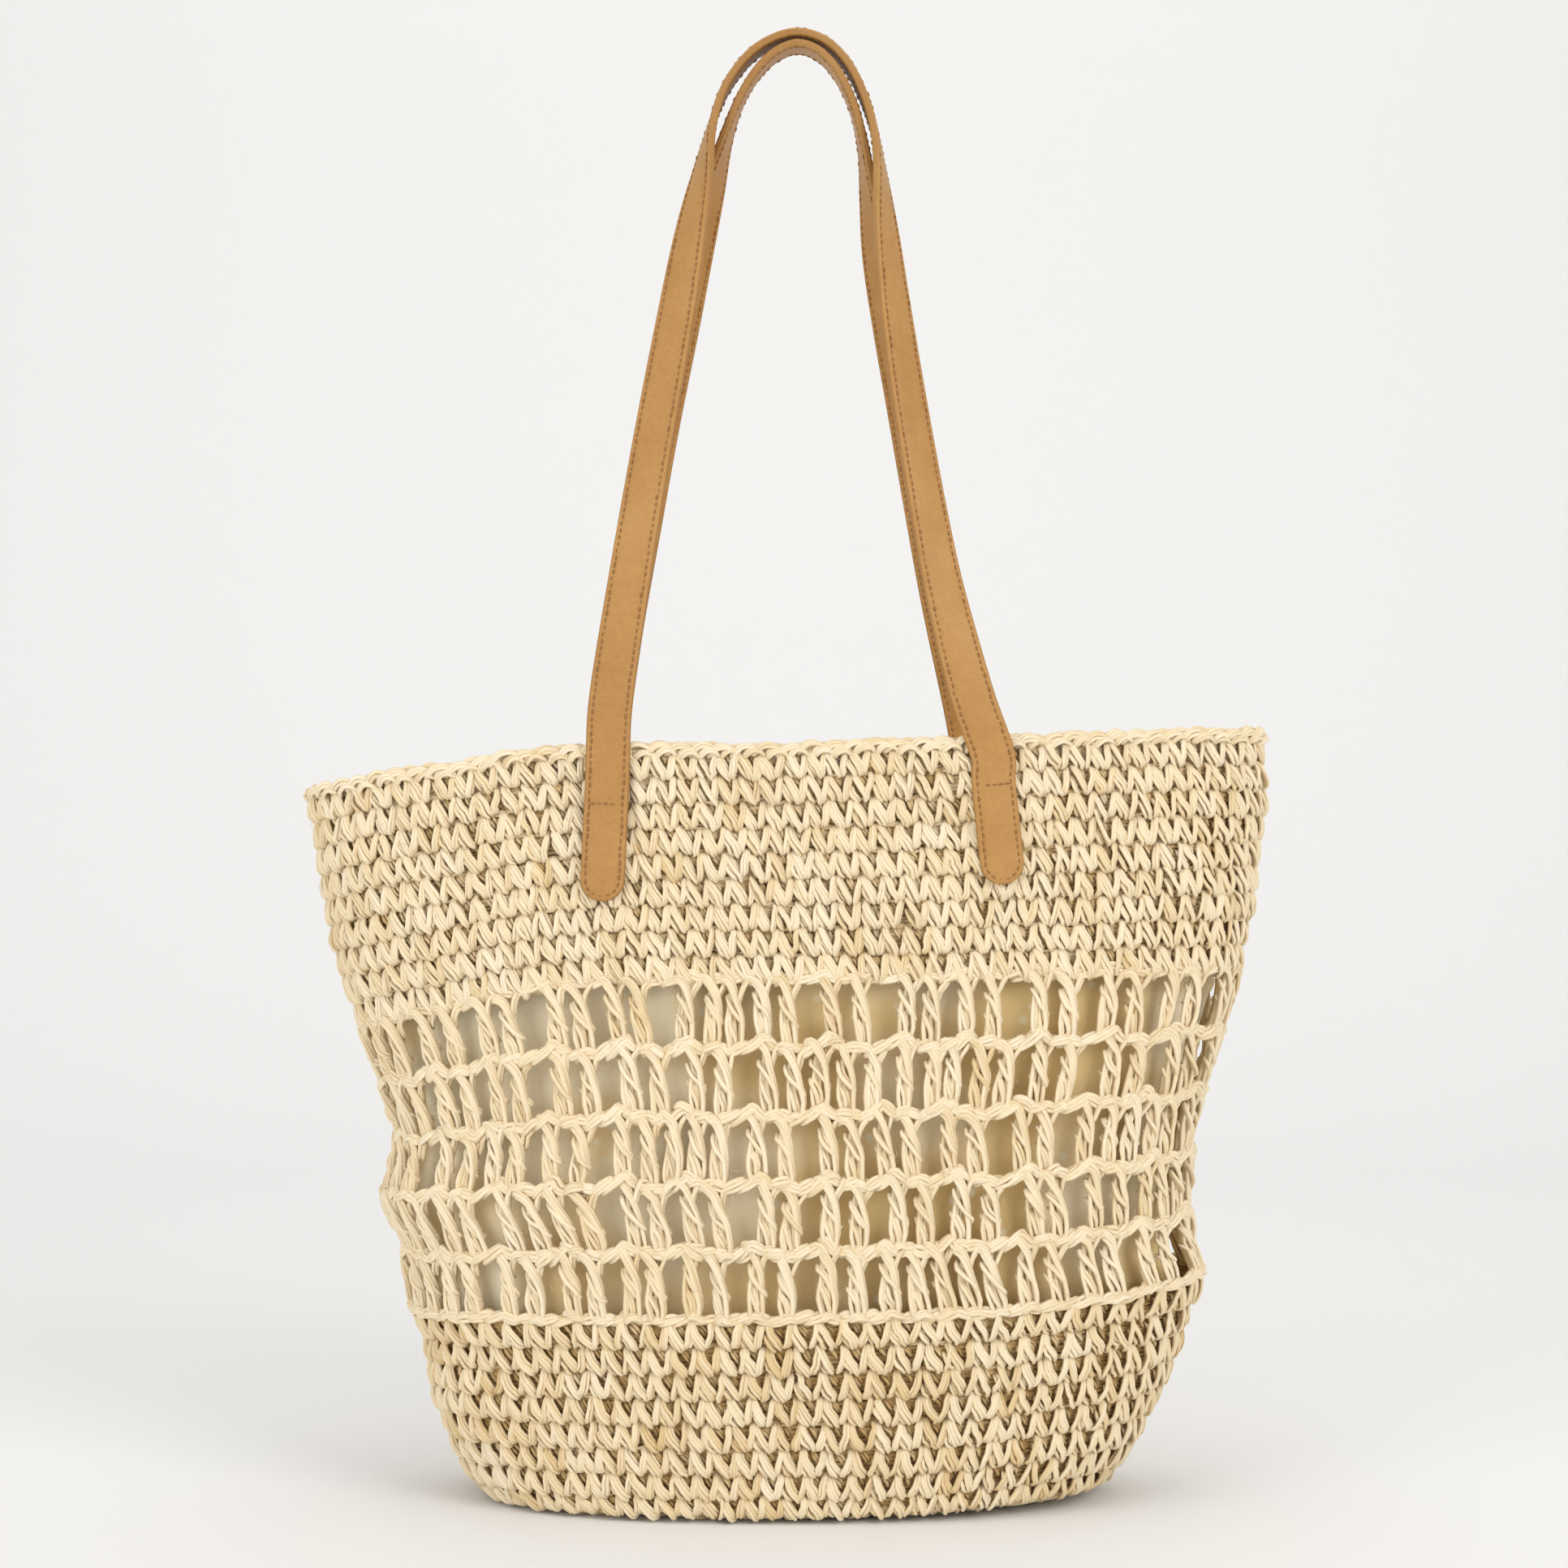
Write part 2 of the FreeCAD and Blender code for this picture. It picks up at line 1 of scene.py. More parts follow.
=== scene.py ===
import json
import math
import bpy
import numpy as np
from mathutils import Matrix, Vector

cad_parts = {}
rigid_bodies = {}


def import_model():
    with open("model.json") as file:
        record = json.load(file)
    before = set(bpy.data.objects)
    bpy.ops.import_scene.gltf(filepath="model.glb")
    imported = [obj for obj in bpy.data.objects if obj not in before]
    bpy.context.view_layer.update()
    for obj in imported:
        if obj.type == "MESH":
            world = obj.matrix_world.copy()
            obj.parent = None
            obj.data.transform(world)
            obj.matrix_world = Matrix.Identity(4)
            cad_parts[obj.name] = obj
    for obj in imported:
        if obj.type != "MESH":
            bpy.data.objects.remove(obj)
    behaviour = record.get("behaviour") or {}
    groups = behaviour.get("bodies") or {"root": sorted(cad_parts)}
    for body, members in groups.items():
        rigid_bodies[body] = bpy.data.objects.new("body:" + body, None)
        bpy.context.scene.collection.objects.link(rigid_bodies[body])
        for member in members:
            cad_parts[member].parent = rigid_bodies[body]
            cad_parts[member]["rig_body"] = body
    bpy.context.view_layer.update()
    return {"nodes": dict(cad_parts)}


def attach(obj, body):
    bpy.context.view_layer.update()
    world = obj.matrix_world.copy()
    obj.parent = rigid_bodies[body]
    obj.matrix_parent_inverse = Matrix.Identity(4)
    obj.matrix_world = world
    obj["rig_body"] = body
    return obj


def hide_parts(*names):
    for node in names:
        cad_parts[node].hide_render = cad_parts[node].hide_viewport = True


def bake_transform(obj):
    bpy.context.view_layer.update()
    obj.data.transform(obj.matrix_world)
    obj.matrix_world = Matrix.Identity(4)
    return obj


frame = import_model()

RNG = np.random.default_rng(7)
MM = 0.001

# ------------------------------------------------------------------ camera
cam_data = bpy.data.cameras.new("camera")
cam_data.lens = 73.56
cam_data.sensor_width = 36.0
cam_data.clip_end = 50
cam = bpy.data.objects.new("camera", cam_data)
bpy.context.scene.collection.objects.link(cam)
cam.location = (-0.0017, -1.5, 0.3303)
cam.rotation_euler = (math.radians(90), 0, 0)
bpy.context.scene.camera = cam
bpy.context.scene.view_settings.view_transform = "Standard"
bpy.context.scene.view_settings.look = "None"


# ------------------------------------------------------------------ small tools
def table(rows):
    a = np.array(rows, float)
    return lambda x: np.interp(x, a[:, 0], a[:, 1])


def smooth(x, a, b):
    t = np.clip((x - a) / (b - a), 0, 1)
    return t * t * (3 - 2 * t)


def new_object(name, verts, faces, material, smooth_faces=True):
    me = bpy.data.meshes.new(name)
    me.from_pydata([tuple(v) for v in verts], [], faces)
    me.update()
    if smooth_faces:
        me.polygons.foreach_set("use_smooth", [True] * len(me.polygons))
    ob = bpy.data.objects.new(name, me)
    bpy.context.scene.collection.objects.link(ob)
    me.materials.append(material)
    return ob


def raw_mesh(name, verts, loops, starts, totals, material):
    """A mesh straight from arrays."""
    me = bpy.data.meshes.new(name)
    me.vertices.add(len(verts))
    me.vertices.foreach_set("co", verts.astype(np.float32).ravel())
    me.loops.add(len(loops))
    me.loops.foreach_set("vertex_index", loops.astype(np.int32))
    me.polygons.add(len(starts))
    me.polygons.foreach_set("loop_start", starts.astype(np.int32))
    me.polygons.foreach_set("loop_total", totals.astype(np.int32))
    me.update(calc_edges=True)
    me.validate()
    me.polygons.foreach_set("use_smooth", np.ones(len(me.polygons), bool))
    me.materials.append(material)
    ob = bpy.data.objects.new(name, me)
    bpy.context.scene.collection.objects.link(ob)
    return ob


class Nodes:
    """A short way to write a material's node tree."""

    def __init__(self, name):
        self.mat = bpy.data.materials.new(name)
        self.mat.use_nodes = True
        self.tree = self.mat.node_tree
        self.bsdf = self.tree.nodes["Principled BSDF"]

    def add(self, kind, links=None, **props):
        n = self.tree.nodes.new(kind)
        for k, v in props.items():
            setattr(n, k, v)
        for k, v in (links or {}).items():
            self.put(n, k, v)
        return n

    def put(self, n, key, value):
        sock = n.inputs[key]
        if isinstance(value, bpy.types.NodeSocket):
            self.tree.links.new(value, sock)
        else:
            sock.default_value = value

    def maths(self, op, a, b=None, clamp=False):
        n = self.add("ShaderNodeMath", operation=op, use_clamp=clamp)
        self.put(n, 0, a)
        if b is not None:
            self.put(n, 1, b)
        return n.outputs[0]

    def ramp(self, fac, stops):
        n = self.add("ShaderNodeValToRGB", {"Fac": fac})
        el = n.color_ramp.elements
        while len(el) < len(stops):
            el.new(0.5)
        for e, (p, c) in zip(el, stops):
            e.position, e.color = p, (*c, 1)
        return n.outputs["Color"]

    def mix(self, fac, a, b, mode="MIX"):
        n = self.add("ShaderNodeMix", data_type="RGBA", blend_type=mode)
        self.put(n, 0, fac)
        for key, v in ((6, a), (7, b)):
            self.put(n, key, v if isinstance(v, bpy.types.NodeSocket) else (*v, 1))
        return n.outputs[2]

    def range(self, x, lo, hi, to_lo, to_hi):
        n = self.add("ShaderNodeMapRange")
        for k, v in zip((0, 1, 2, 3, 4), (x, lo, hi, to_lo, to_hi)):
            self.put(n, k, v)
        return n.outputs[0]

    def noise(self, vec, scale, detail=3.0, rough=0.5):
        n = self.add("ShaderNodeTexNoise", {"Scale": scale, "Detail": detail, "Roughness": rough})
        if vec is not None:
            self.put(n, "Vector", vec)
        return n.outputs["Fac"]

    def bump(self, height, strength, distance, normal=None):
        n = self.add("ShaderNodeBump", {"Height": height, "Strength": strength, "Distance": distance})
        if normal is not None:
            self.put(n, "Normal", normal)
        return n.outputs["Normal"]


def lin(r, g, b):
    f = lambda c: (c / 255 / 12.92) if c / 255 <= 0.04045 else ((c / 255 + 0.055) / 1.055) ** 2.4
    return (f(r), f(g), f(b))


# ------------------------------------------------------------------ materials
def straw_material():
    n = Nodes("straw_yarn")
    uv = n.add("ShaderNodeUVMap", uv_map="Yarn").outputs["UV"]
    tint = n.add("ShaderNodeAttribute", attribute_name="tint").outputs["Fac"]
    co = n.add("ShaderNodeTexCoord").outputs["Object"]
    stretch = n.add("ShaderNodeMapping", {"Vector": uv, "Scale": (0.16, 9.0, 1.0)}).outputs[0]
    fibre = n.noise(stretch, 2.2, 4.0, 0.6)
    fold_v = n.add("ShaderNodeMapping", {"Vector": uv, "Scale": (0.07, 3.0, 1.0)}).outputs[0]
    folds = n.noise(fold_v, 1.6, 2.0, 0.5)
    blotch = n.noise(co, 38.0, 3.0, 0.55)
    pale, mid, deep, brown = lin(243, 230, 203), lin(238, 221, 186), lin(221, 195, 147), lin(174, 140, 82)
    # tint holds each strand's random tone; strands inside holes, under the next round and behind are given lower tints
    # as painted shade
    base = n.ramp(
        n.maths("ADD", n.maths("MULTIPLY", tint, 0.82), n.maths("MULTIPLY", blotch, 0.24)),
        [(0.06, brown), (0.30, deep), (0.56, mid), (0.86, pale)],
    )
    dark = n.range(fibre, 0.34, 0.58, 1.0, 0.0)
    col = n.mix(n.maths("MULTIPLY", dark, 0.26), base, lin(208, 172, 118))
    # painted shade: darker where the fold noise is low, in the creases of the yarn
    painted_crease_shade = n.range(folds, 0.30, 0.42, 1.0, 0.0)
    col = n.mix(n.maths("MULTIPLY", painted_crease_shade, 0.34), col, lin(190, 150, 96))
    # painted shade: the sides of each strand, where it lies against the next, are darkened
    around = n.add("ShaderNodeSeparateXYZ", {"Vector": uv}).outputs["Y"]
    facing = n.maths("ABSOLUTE", n.maths("SINE", n.maths("MULTIPLY", around, 6.28318)))
    side = n.range(facing, 0.0, 0.74, 1.0, 0.0)
    col = n.mix(n.maths("MULTIPLY", side, 0.40), col, lin(178, 142, 80))
    n.put(n.bsdf, "Base Color", col)
    rough = n.range(fibre, 0.3, 0.7, 0.78, 0.6)
    n.put(n.bsdf, "Roughness", rough)
    n.bsdf.inputs["Specular IOR Level"].default_value = 0.22
    n.bsdf.inputs["Sheen Weight"].default_value = 0.08
    n.bsdf.inputs["Sheen Roughness"].default_value = 0.5
    h = n.maths("ADD", n.maths("MULTIPLY", fibre, 0.5), n.maths("MULTIPLY", folds, 0.9))
    n.put(n.bsdf, "Normal", n.bump(h, 0.75, 0.0006))
    return n.mat


def cloth_material():
    n = Nodes("lining_cloth")
    co = n.add("ShaderNodeTexCoord").outputs["Object"]
    uv = n.add("ShaderNodeUVMap", uv_map="Cloth").outputs["UV"]
    wave = lambda d: n.add(
        "ShaderNodeTexWave",
        {"Vector": uv, "Scale": 400.0, "Distortion": 0.6, "Detail": 1.0},
        bands_direction=d,
    ).outputs["Fac"]
    weave = n.maths("MULTIPLY", wave("X"), wave("Y"))
    slub = n.noise(n.add("ShaderNodeMapping", {"Vector": uv, "Scale": (1, 0.08, 1)}).outputs[0], 300.0, 2.0)
    soft = n.noise(co, 16.0, 3.0)
    broad = n.noise(co, 13.0, 2.0, 0.45)
    col = n.ramp(soft, [(0.3, lin(240, 232, 212)), (0.7, lin(248, 243, 229))])
    # painted light: a paler patch left of the middle, placed by position, where light through the openings falls on the
    # cloth
    across = n.add("ShaderNodeSeparateXYZ", {"Vector": co}).outputs["X"]
    painted_light_patch = n.maths("MULTIPLY", n.range(across, -0.15, -0.08, 0.0, 1.0), n.range(across, -0.02, 0.05, 1.0, 0.0))
    broad = n.maths("ADD", n.maths("SUBTRACT", broad, 0.05), n.maths("MULTIPLY", painted_light_patch, 0.11))
    # the outer face, seen through the openings, is painted tan for shade and cream for light; the inner face keeps the
    # plain cloth colour
    painted_light_and_shade_outer = n.ramp(broad, [(0.40, lin(235, 206, 146)), (0.48, lin(247, 223, 172)), (0.57, lin(255, 243, 212))])
    # painted light: small pale spots where light comes through the weave of the crochet
    painted_light_spots = n.add("ShaderNodeTexVoronoi", {"Vector": co, "Scale": 80.0, "Randomness": 1.0}).outputs["Distance"]
    where = n.range(n.noise(co, 22.0, 1.0), 0.44, 0.52, 0.0, 1.0)
    painted_light_and_shade_outer = n.mix(n.maths("MULTIPLY", n.range(painted_light_spots, 0.12, 0.26, 1.0, 0.0), where), painted_light_and_shade_outer, lin(255, 248, 222))
    inner = n.add("ShaderNodeAttribute", attribute_name="inner").outputs["Fac"]
    col = n.mix(inner, painted_light_and_shade_outer, col)
    col = n.mix(n.maths("MULTIPLY", n.range(slub, 0.35, 0.65, 0.0, 1.0), 0.12), col, lin(222, 206, 172))
    n.put(n.bsdf, "Base Color", col)
    n.bsdf.inputs["Subsurface Weight"].default_value = 0.12
    n.bsdf.inputs["Subsurface Radius"].default_value = (1.0, 0.85, 0.65)
    n.bsdf.inputs["Subsurface Scale"].default_value = 0.004
    n.bsdf.inputs["Roughness"].default_value = 0.72
    n.bsdf.inputs["Sheen Weight"].default_value = 0.2
    n.put(n.bsdf, "Normal", n.bump(n.maths("ADD", weave, n.maths("MULTIPLY", soft, 0.6)), 0.35, 0.0003))
    return n.mat


def leather_material(name, light, mid, dark, tone=0.0):
    n = Nodes(name)
    co = n.add("ShaderNodeTexCoord").outputs["Object"]
    grain = n.add(
        "ShaderNodeTexVoronoi", {"Vector": co, "Scale": 900.0, "Randomness": 0.9}, feature="DISTANCE_TO_EDGE"
    ).outputs["Distance"]
    fine = n.noise(co, 1500.0, 3.0)
    cloud = n.noise(co, 30.0, 4.0, 0.6)
    speck = n.noise(co, 420.0, 4.0, 0.65)
    edge = n.add("ShaderNodeAttribute", attribute_name="edge").outputs["Fac"]
    col = n.ramp(n.maths("ADD", n.maths("MULTIPLY", cloud, 0.6), n.maths("MULTIPLY", speck, 0.4)),
                 [(0.3, dark), (0.5, mid), (0.72, light)])
    col = n.mix(n.maths("MULTIPLY", n.range(grain, 0.0, 0.12, 1.0, 0.0), 0.22), col, tuple(c * 0.55 for c in dark))
    col = n.mix(n.maths("MULTIPLY", edge, 0.35), col, tuple(c * 0.62 for c in dark))
    n.put(n.bsdf, "Base Color", col)
    n.put(n.bsdf, "Roughness", n.range(speck, 0.3, 0.7, 0.42, 0.58))
    n.bsdf.inputs["Specular IOR Level"].default_value = 0.45
    n.bsdf.inputs["Coat Weight"].default_value = 0.06
    n.bsdf.inputs["Coat Roughness"].default_value = 0.35
    h = n.maths("ADD", n.range(grain, 0.0, 0.2, 0.0, 1.0), n.maths("MULTIPLY", fine, 0.5))
    n.put(n.bsdf, "Normal", n.bump(h, 0.32, 0.00025))
    return n.mat


def thread_material():
    n = Nodes("seam_thread")
    uv = n.add("ShaderNodeUVMap", uv_map="Yarn").outputs["UV"]
    twist = n.add("ShaderNodeMapping", {"Vector": uv, "Rotation": (0, 0, 0.6), "Scale": (2.0, 3.0, 1)}).outputs[0]
    w = n.add("ShaderNodeTexWave", {"Vector": twist, "Scale": 1.2, "Distortion": 0.3}).outputs["Fac"]
    n.put(n.bsdf, "Base Color", n.ramp(w, [(0.2, lin(132, 90, 44)), (0.8, lin(170, 122, 66))]))
    n.bsdf.inputs["Roughness"].default_value = 0.55
    n.put(n.bsdf, "Normal", n.bump(w, 0.5, 0.0002))
    return n.mat


STRAW = straw_material()
CLOTH = cloth_material()
LEATHER = leather_material("strap_leather", lin(188, 143, 81), lin(178, 130, 67), lin(165, 116, 55))
THREAD = thread_material()
PATCH = leather_material("patch_leather", lin(226, 204, 164), lin(216, 192, 150), lin(202, 176, 132))

# ------------------------------------------------------------------ the bag's wall
# Outer outline of the bag as it stands, millimetres: height and how far it reaches left and right.
X_LEFT = table([(0, -134), (4.5, -142), (12, -149.5), (27, -157), (50, -166), (73, -170), (88, -177), (103, -178),
                (120, -181), (133, -188), (141, -190), (150, -187), (160, -184), (172, -184), (202, -194),
                (240, -208), (278, -217), (316, -223), (331, -225), (372, -225)])
X_RIGHT = table([(0, 136), (4.5, 143), (12, 152), (27, 164), (50, 176), (73, 184), (88, 188), (96, 192),
                 (103, 195), (110, 191), (118, 187.5), (141, 187.5), (172, 190), (202, 199), (240, 209.5),
                 (278, 218.5), (316, 222.5), (372, 223.5)])
DEPTH = table([(0, 70.5), (4.5, 72.5), (12, 73.5), (25, 74), (50, 74.3), (88, 74.3), (126, 74), (172, 72.5), (202, 70.5),
               (240, 67), (278, 63), (316, 59.5), (350, 56.5), (372, 55)])
HALF_YARN = 3.0
POWER = 2.4
Z8 = table([(-1, 87.5), (-0.6, 90), (0, 91.5), (0.5, 94), (0.8, 99), (1, 104)])
Z13 = table([(-1, 219), (-0.85, 226), (-0.6, 237), (-0.4, 242), (0, 243), (1, 246)])
Z22 = table([(-1, 325.5), (-0.88, 331), (-0.76, 335), (-0.67, 336.5), (-0.55, 342.5), (-0.36, 345.5), (0, 345.5), (0.2, 347.5), (0.45, 349.3),
             (0.7, 351.3), (1, 352.5)])
FOOT = np.array([0, 1, 2, 3, 4, 5, 6, 7, 8], float)
FOOT_Z = np.array([4.6, 12.2, 22.8, 34, 45.5, 57, 68.5, 80, 91.5])


def line_height(s, v):
    """Height of round v at place s across the bag, from -1 at the left end to 1 at the right."""
    z0, z8, z13, z22 = 4.6 + 5.0 * smooth(s, 0.15, 1.0), Z8(s), Z13(s), Z22(s)
    low = np.interp(v, FOOT, FOOT_Z)
    lower = z0 + (low - 4.6) / (91.5 - 4.6) * (z8 - z0)
    mid = z8 + (z13 - z8) * (v - 8) / 5
    up = z13 + (z22 - z13) * (v - 13) / 9
    return np.where(v <= 8, lower, np.where(v <= 13, mid, up))


V_MIN, V_MAX, V_STEP, NT = -6.0, 22.5, 0.125, 1440
VS = np.arange(V_MIN, V_MAX + 1e-6, V_STEP)
ROW_IN = 10.2


def build_grid():
    P = np.zeros((len(VS), NT, 3))
    w = np.linspace(0, 2 * np.pi, 4001)
    c, s = np.cos(w + np.pi), np.sin(w + np.pi)
    ex = np.sign(c) * np.abs(c) ** (2 / POWER)
    ey = np.sign(s) * np.abs(s) ** (2 / POWER)
    for i, v in enumerate(VS):
        u = max(v, 0.0)
        side = ex.copy()
        for _ in range(3):
            z = line_height(side, u)
            xl, xr, b = X_LEFT(z) + HALF_YARN, X_RIGHT(z) - HALF_YARN, DEPTH(z) - HALF_YARN
            a, xc = (xr - xl) / 2, (xr + xl) / 2
        cut = ROW_IN * max(0.0, -v)
        aa, bb = np.maximum(a - cut, 4), np.maximum(b - cut, 0.6)
        power = 2.4 if v >= 0 else 2.4 - 0.4 * min(1, -v / 5)
        px, py = xc + aa * ex, bb * ey
        pz = z * 1.0
        if v < 0:
            pz = 4.2 + (z - 4.2) * max(0.0, 1 + v / 2)
        q = np.stack([px, py, pz], 1)
        d = np.concatenate([[0], np.cumsum(np.linalg.norm(np.diff(q, axis=0), axis=1))])
        # left end, middle of the front, right end, middle of the back: each quarter is divided evenly,
        # so the columns of stitches stand upright
        mid_front = np.interp(0.0, q[:2001, 0], d[:2001])
        mid_back = np.interp(0.0, q[:1999:-1, 0], d[:1999:-1])
        marks = [0.0, mid_front, d[2000], mid_back, d[-1]]
        want = np.concatenate([np.linspace(marks[j], marks[j + 1], NT // 4, endpoint=False) for j in range(4)])
        for k in range(3):
            P[i, :, k] = np.interp(want, d, q[:, k])
    # Soft unevenness of a hand-worked, standing bag.
    t = np.arange(NT) / NT * 2 * np.pi
    vv = VS[:, None]
    wob = (
        0.9 * np.sin(3 * t + 0.35 * vv + 0.6)
        + 0.7 * np.sin(7 * t - 0.5 * vv + 2.0)
        + 0.6 * np.sin(13 * t + 0.9 * vv)
        + 0.5 * np.sin(2 * t + 1.7 * vv)
    ) * smooth(vv, 0.5, 3)
    out = P.copy()
    out[..., 2] = 0
    n = out / np.maximum(1, np.linalg.norm(out, axis=2, keepdims=True))
    near_end = np.abs(P[..., 0]) / 225
    P[..., :2] += n[..., :2] * (wob * (1 - 0.7 * near_end**4))[..., None]
    return P


GRID = build_grid()
dt = (np.roll(GRID, -4, 1) - np.roll(GRID, 4, 1))
dv = np.gradient(GRID, axis=0)
NORMAL = np.cross(dt, dv)
NORMAL /= np.maximum(1e-9, np.linalg.norm(NORMAL, axis=2, keepdims=True))
for _ in range(3):
    pad = np.concatenate([NORMAL[:1], NORMAL, NORMAL[-1:]])
    NORMAL = pad[:-2] + pad[1:-1] + pad[2:]
    NORMAL /= np.linalg.norm(NORMAL, axis=2, keepdims=True)
PERIM = np.linalg.norm(np.roll(GRID, -1, 1) - GRID, axis=2).sum(1)


def perimeter(v):
    return np.interp(v, VS, PERIM)


def sample(grid, t, v):
    x = (t % 1.0) * NT
    y = np.clip((v - V_MIN) / V_STEP, 0, len(VS) - 1.001)
    i, j = np.floor(x).astype(int), np.floor(y).astype(int)
    fx, fy = (x - i)[..., None], (y - j)[..., None]
    i0, i1 = i % NT, (i + 1) % NT
    return (grid[j, i0] * (1 - fx) + grid[j, i1] * fx) * (1 - fy) + (grid[j + 1, i0] * (1 - fx) + grid[j + 1, i1] * fx) * fy


def on_wall(t, v, n):
    """Wall coordinates (turn, round, millimetres outwards) to a point."""
    nn = sample(NORMAL, t, v)
    nn = nn / np.linalg.norm(nn, axis=-1, keepdims=True)
    return sample(GRID, t, v) + nn * n[..., None], nn


# ------------------------------------------------------------------ yarn
def spline(ctrl, count):
    """Smooth run through control points on the next-to-last axis."""
    k = ctrl.shape[-2]
    pad = np.concatenate([2 * ctrl[..., :1, :] - ctrl[..., 1:2, :], ctrl, 2 * ctrl[..., -1:, :] - ctrl[..., -2:-1, :]], -2)
    u = np.linspace(0, k - 1, count)
    i = np.minimum(u.astype(int), k - 2)
    f = (u - i)[:, None]
    a, b, c, d = (pad[..., i + j, :] for j in range(4))
    return 0.5 * (2 * b + (c - a) * f + (2 * a - 5 * b + 4 * c - d) * f**2 + (3 * b - a - 3 * c + d) * f**3)


class Yarn:
    """Collects strands as tubes, then writes them as a few meshes."""

    def __init__(self, ring=6):
        self.ring, self.parts = ring, []

    def strands(self, line, normal, offsets, radius, twist=0.0, tint=None, flat=1.0, spread=None, seed_phase=True):
        """line (N, M, 3) middle of a bundle, with a surface normal at each place; offsets in mm across and out."""
        N, M, _ = line.shape
        tang = np.gradient(line, axis=1)
        tang /= np.maximum(1e-9, np.linalg.norm(tang, axis=2, keepdims=True))
        u = np.zeros_like(line)
        first = normal[:, 0] - tang[:, 0] * (normal[:, 0] * tang[:, 0]).sum(1, keepdims=True)
        ln = np.linalg.norm(first, axis=1, keepdims=True)
        other = np.cross(tang[:, 0], np.array([0.3, 0.5, 0.81]))
        first = np.where(ln > 0.2, first, other)
        u[:, 0] = first / np.linalg.norm(first, axis=1, keepdims=True)
        for m in range(1, M):
            x = u[:, m - 1] + 0.35 * normal[:, m]
            x = x - tang[:, m] * (x * tang[:, m]).sum(1, keepdims=True)
            u[:, m] = x / np.maximum(1e-9, np.linalg.norm(x, axis=1, keepdims=True))
        side = np.cross(tang, u)
        along = np.concatenate([np.zeros((N, 1)), np.cumsum(np.linalg.norm(np.diff(line, axis=1), axis=2), axis=1)], 1)
        turn = twist * along
        if seed_phase and twist:
            turn = turn + RNG.uniform(-0.5, 0.5, (N, 1))
        ca, sa = np.cos(turn), np.sin(turn)
        grow = np.ones(M) if spread is None else np.interp(np.linspace(0, 1, M), np.linspace(0, 1, len(spread)), spread)
        base_tint = RNG.uniform(0.45, 0.85, (N, 1)) if tint is None else tint
        for a, b in offsets:
            a = a + RNG.normal(0, 0.16, (N, 1))
            b = b + RNG.normal(0, 0.12, (N, 1))
            aa, bb = (a * ca - b * sa) * grow, (a * sa + b * ca) * (0.5 + 0.5 * grow)
            mid = line + side * aa[..., None] + u * bb[..., None]
            r = radius * (1 + RNG.normal(0, 0.07, (N, 1))) * (1 + 0.06 * np.sin(along * 1.3 + RNG.uniform(0, 6, (N, 1))))
            self.tube(mid, u, r, along, np.clip(base_tint + RNG.uniform(-0.14, 0.14, (N, 1)), 0, 1), flat)

    def tube(self, mid, u, r, along, tint, flat=1.0):
        N, M, _ = mid.shape
        tang = np.gradient(mid, axis=1)
        tang /= np.maximum(1e-9, np.linalg.norm(tang, axis=2, keepdims=True))
        uu = u - tang * (u * tang).sum(2, keepdims=True)
        uu /= np.maximum(1e-9, np.linalg.norm(uu, axis=2, keepdims=True))
        side = np.cross(tang, uu)
        w = np.arange(self.ring) / self.ring * 2 * np.pi
        shape = np.ones(M)
        shape[0] = shape[-1] = 0.55
        rr = (r * shape)[..., None, None]
        ring = mid[:, :, None] + side[:, :, None] * (np.cos(w)[:, None] * rr) + uu[:, :, None] * (np.sin(w)[:, None] * rr * flat)
        ring[..., 2] = np.maximum(ring[..., 2], 0.1)
        self.parts.append((ring, along, np.broadcast_to(tint, (N, M)), RNG.uniform(0, 50, (N, 1))))

    def write(self, name, node, most=170000, material=None, body="bag", slot="straw_yarn"):
        R = self.ring
        batches, now, size = [], [], 0
        for part in self.parts:
            ring = part[0]
            per = (ring.shape[1] - 1) * R * 2 + 2 * (R - 2)
            i = 0
            while i < len(ring):
                take = min(len(ring) - i, max(1, (most - size) // per))
                now.append(tuple(p[i:i + take] for p in part))
                size += take * per
                i += take
                if size + per > most:
                    batches.append(now)
                    now, size = [], 0
        if now:
            batches.append(now)
        made = []
        for k, batch in enumerate(batches):
            count = sum(len(b[0]) for b in batch)
            cols = int(math.ceil(math.sqrt(count * 1.6)))
            rows = int(math.ceil(count / cols))
            verts, loops, totals, uv, atlas, tints = [], [], [], [], [], []
            base = cell = 0
            for ring, along, tint, shift in batch:
                N, M = ring.shape[:2]
                verts.append(ring.reshape(-1, 3))
                idx = base + np.arange(N * M * R).reshape(N, M, R)
                nxt = np.roll(idx, -1, 2)
                quads = np.stack([idx[:, :-1], nxt[:, :-1], nxt[:, 1:], idx[:, 1:]], -1)
                loops.append(quads.reshape(-1))
                totals.append(np.full(N * (M - 1) * R, 4))
                au = (along + shift)[:, :, None] * 0.1
                a0 = np.broadcast_to(au, (N, M, R))
                r0 = np.broadcast_to(np.arange(R) / R, (N, M, R))
                quv = np.stack([
                    np.stack([a0[:, :-1], r0[:, :-1]], -1), np.stack([a0[:, :-1], r0[:, :-1] + 1 / R], -1),
                    np.stack([a0[:, 1:], r0[:, 1:] + 1 / R], -1), np.stack([a0[:, 1:], r0[:, 1:]], -1)], -2)
                uv.append(quv.reshape(-1, 2))
                cx = ((cell + np.arange(N)) % cols)[:, None, None]
                cy = ((cell + np.arange(N)) // cols)[:, None, None]
                f = (np.arange(M) / (M - 1))[None, :, None]
                ua = (cx + 0.06 + 0.8 * f + 0 * r0) / cols
                va = lambda rr: (cy + 0.06 + 0.88 * rr) / rows
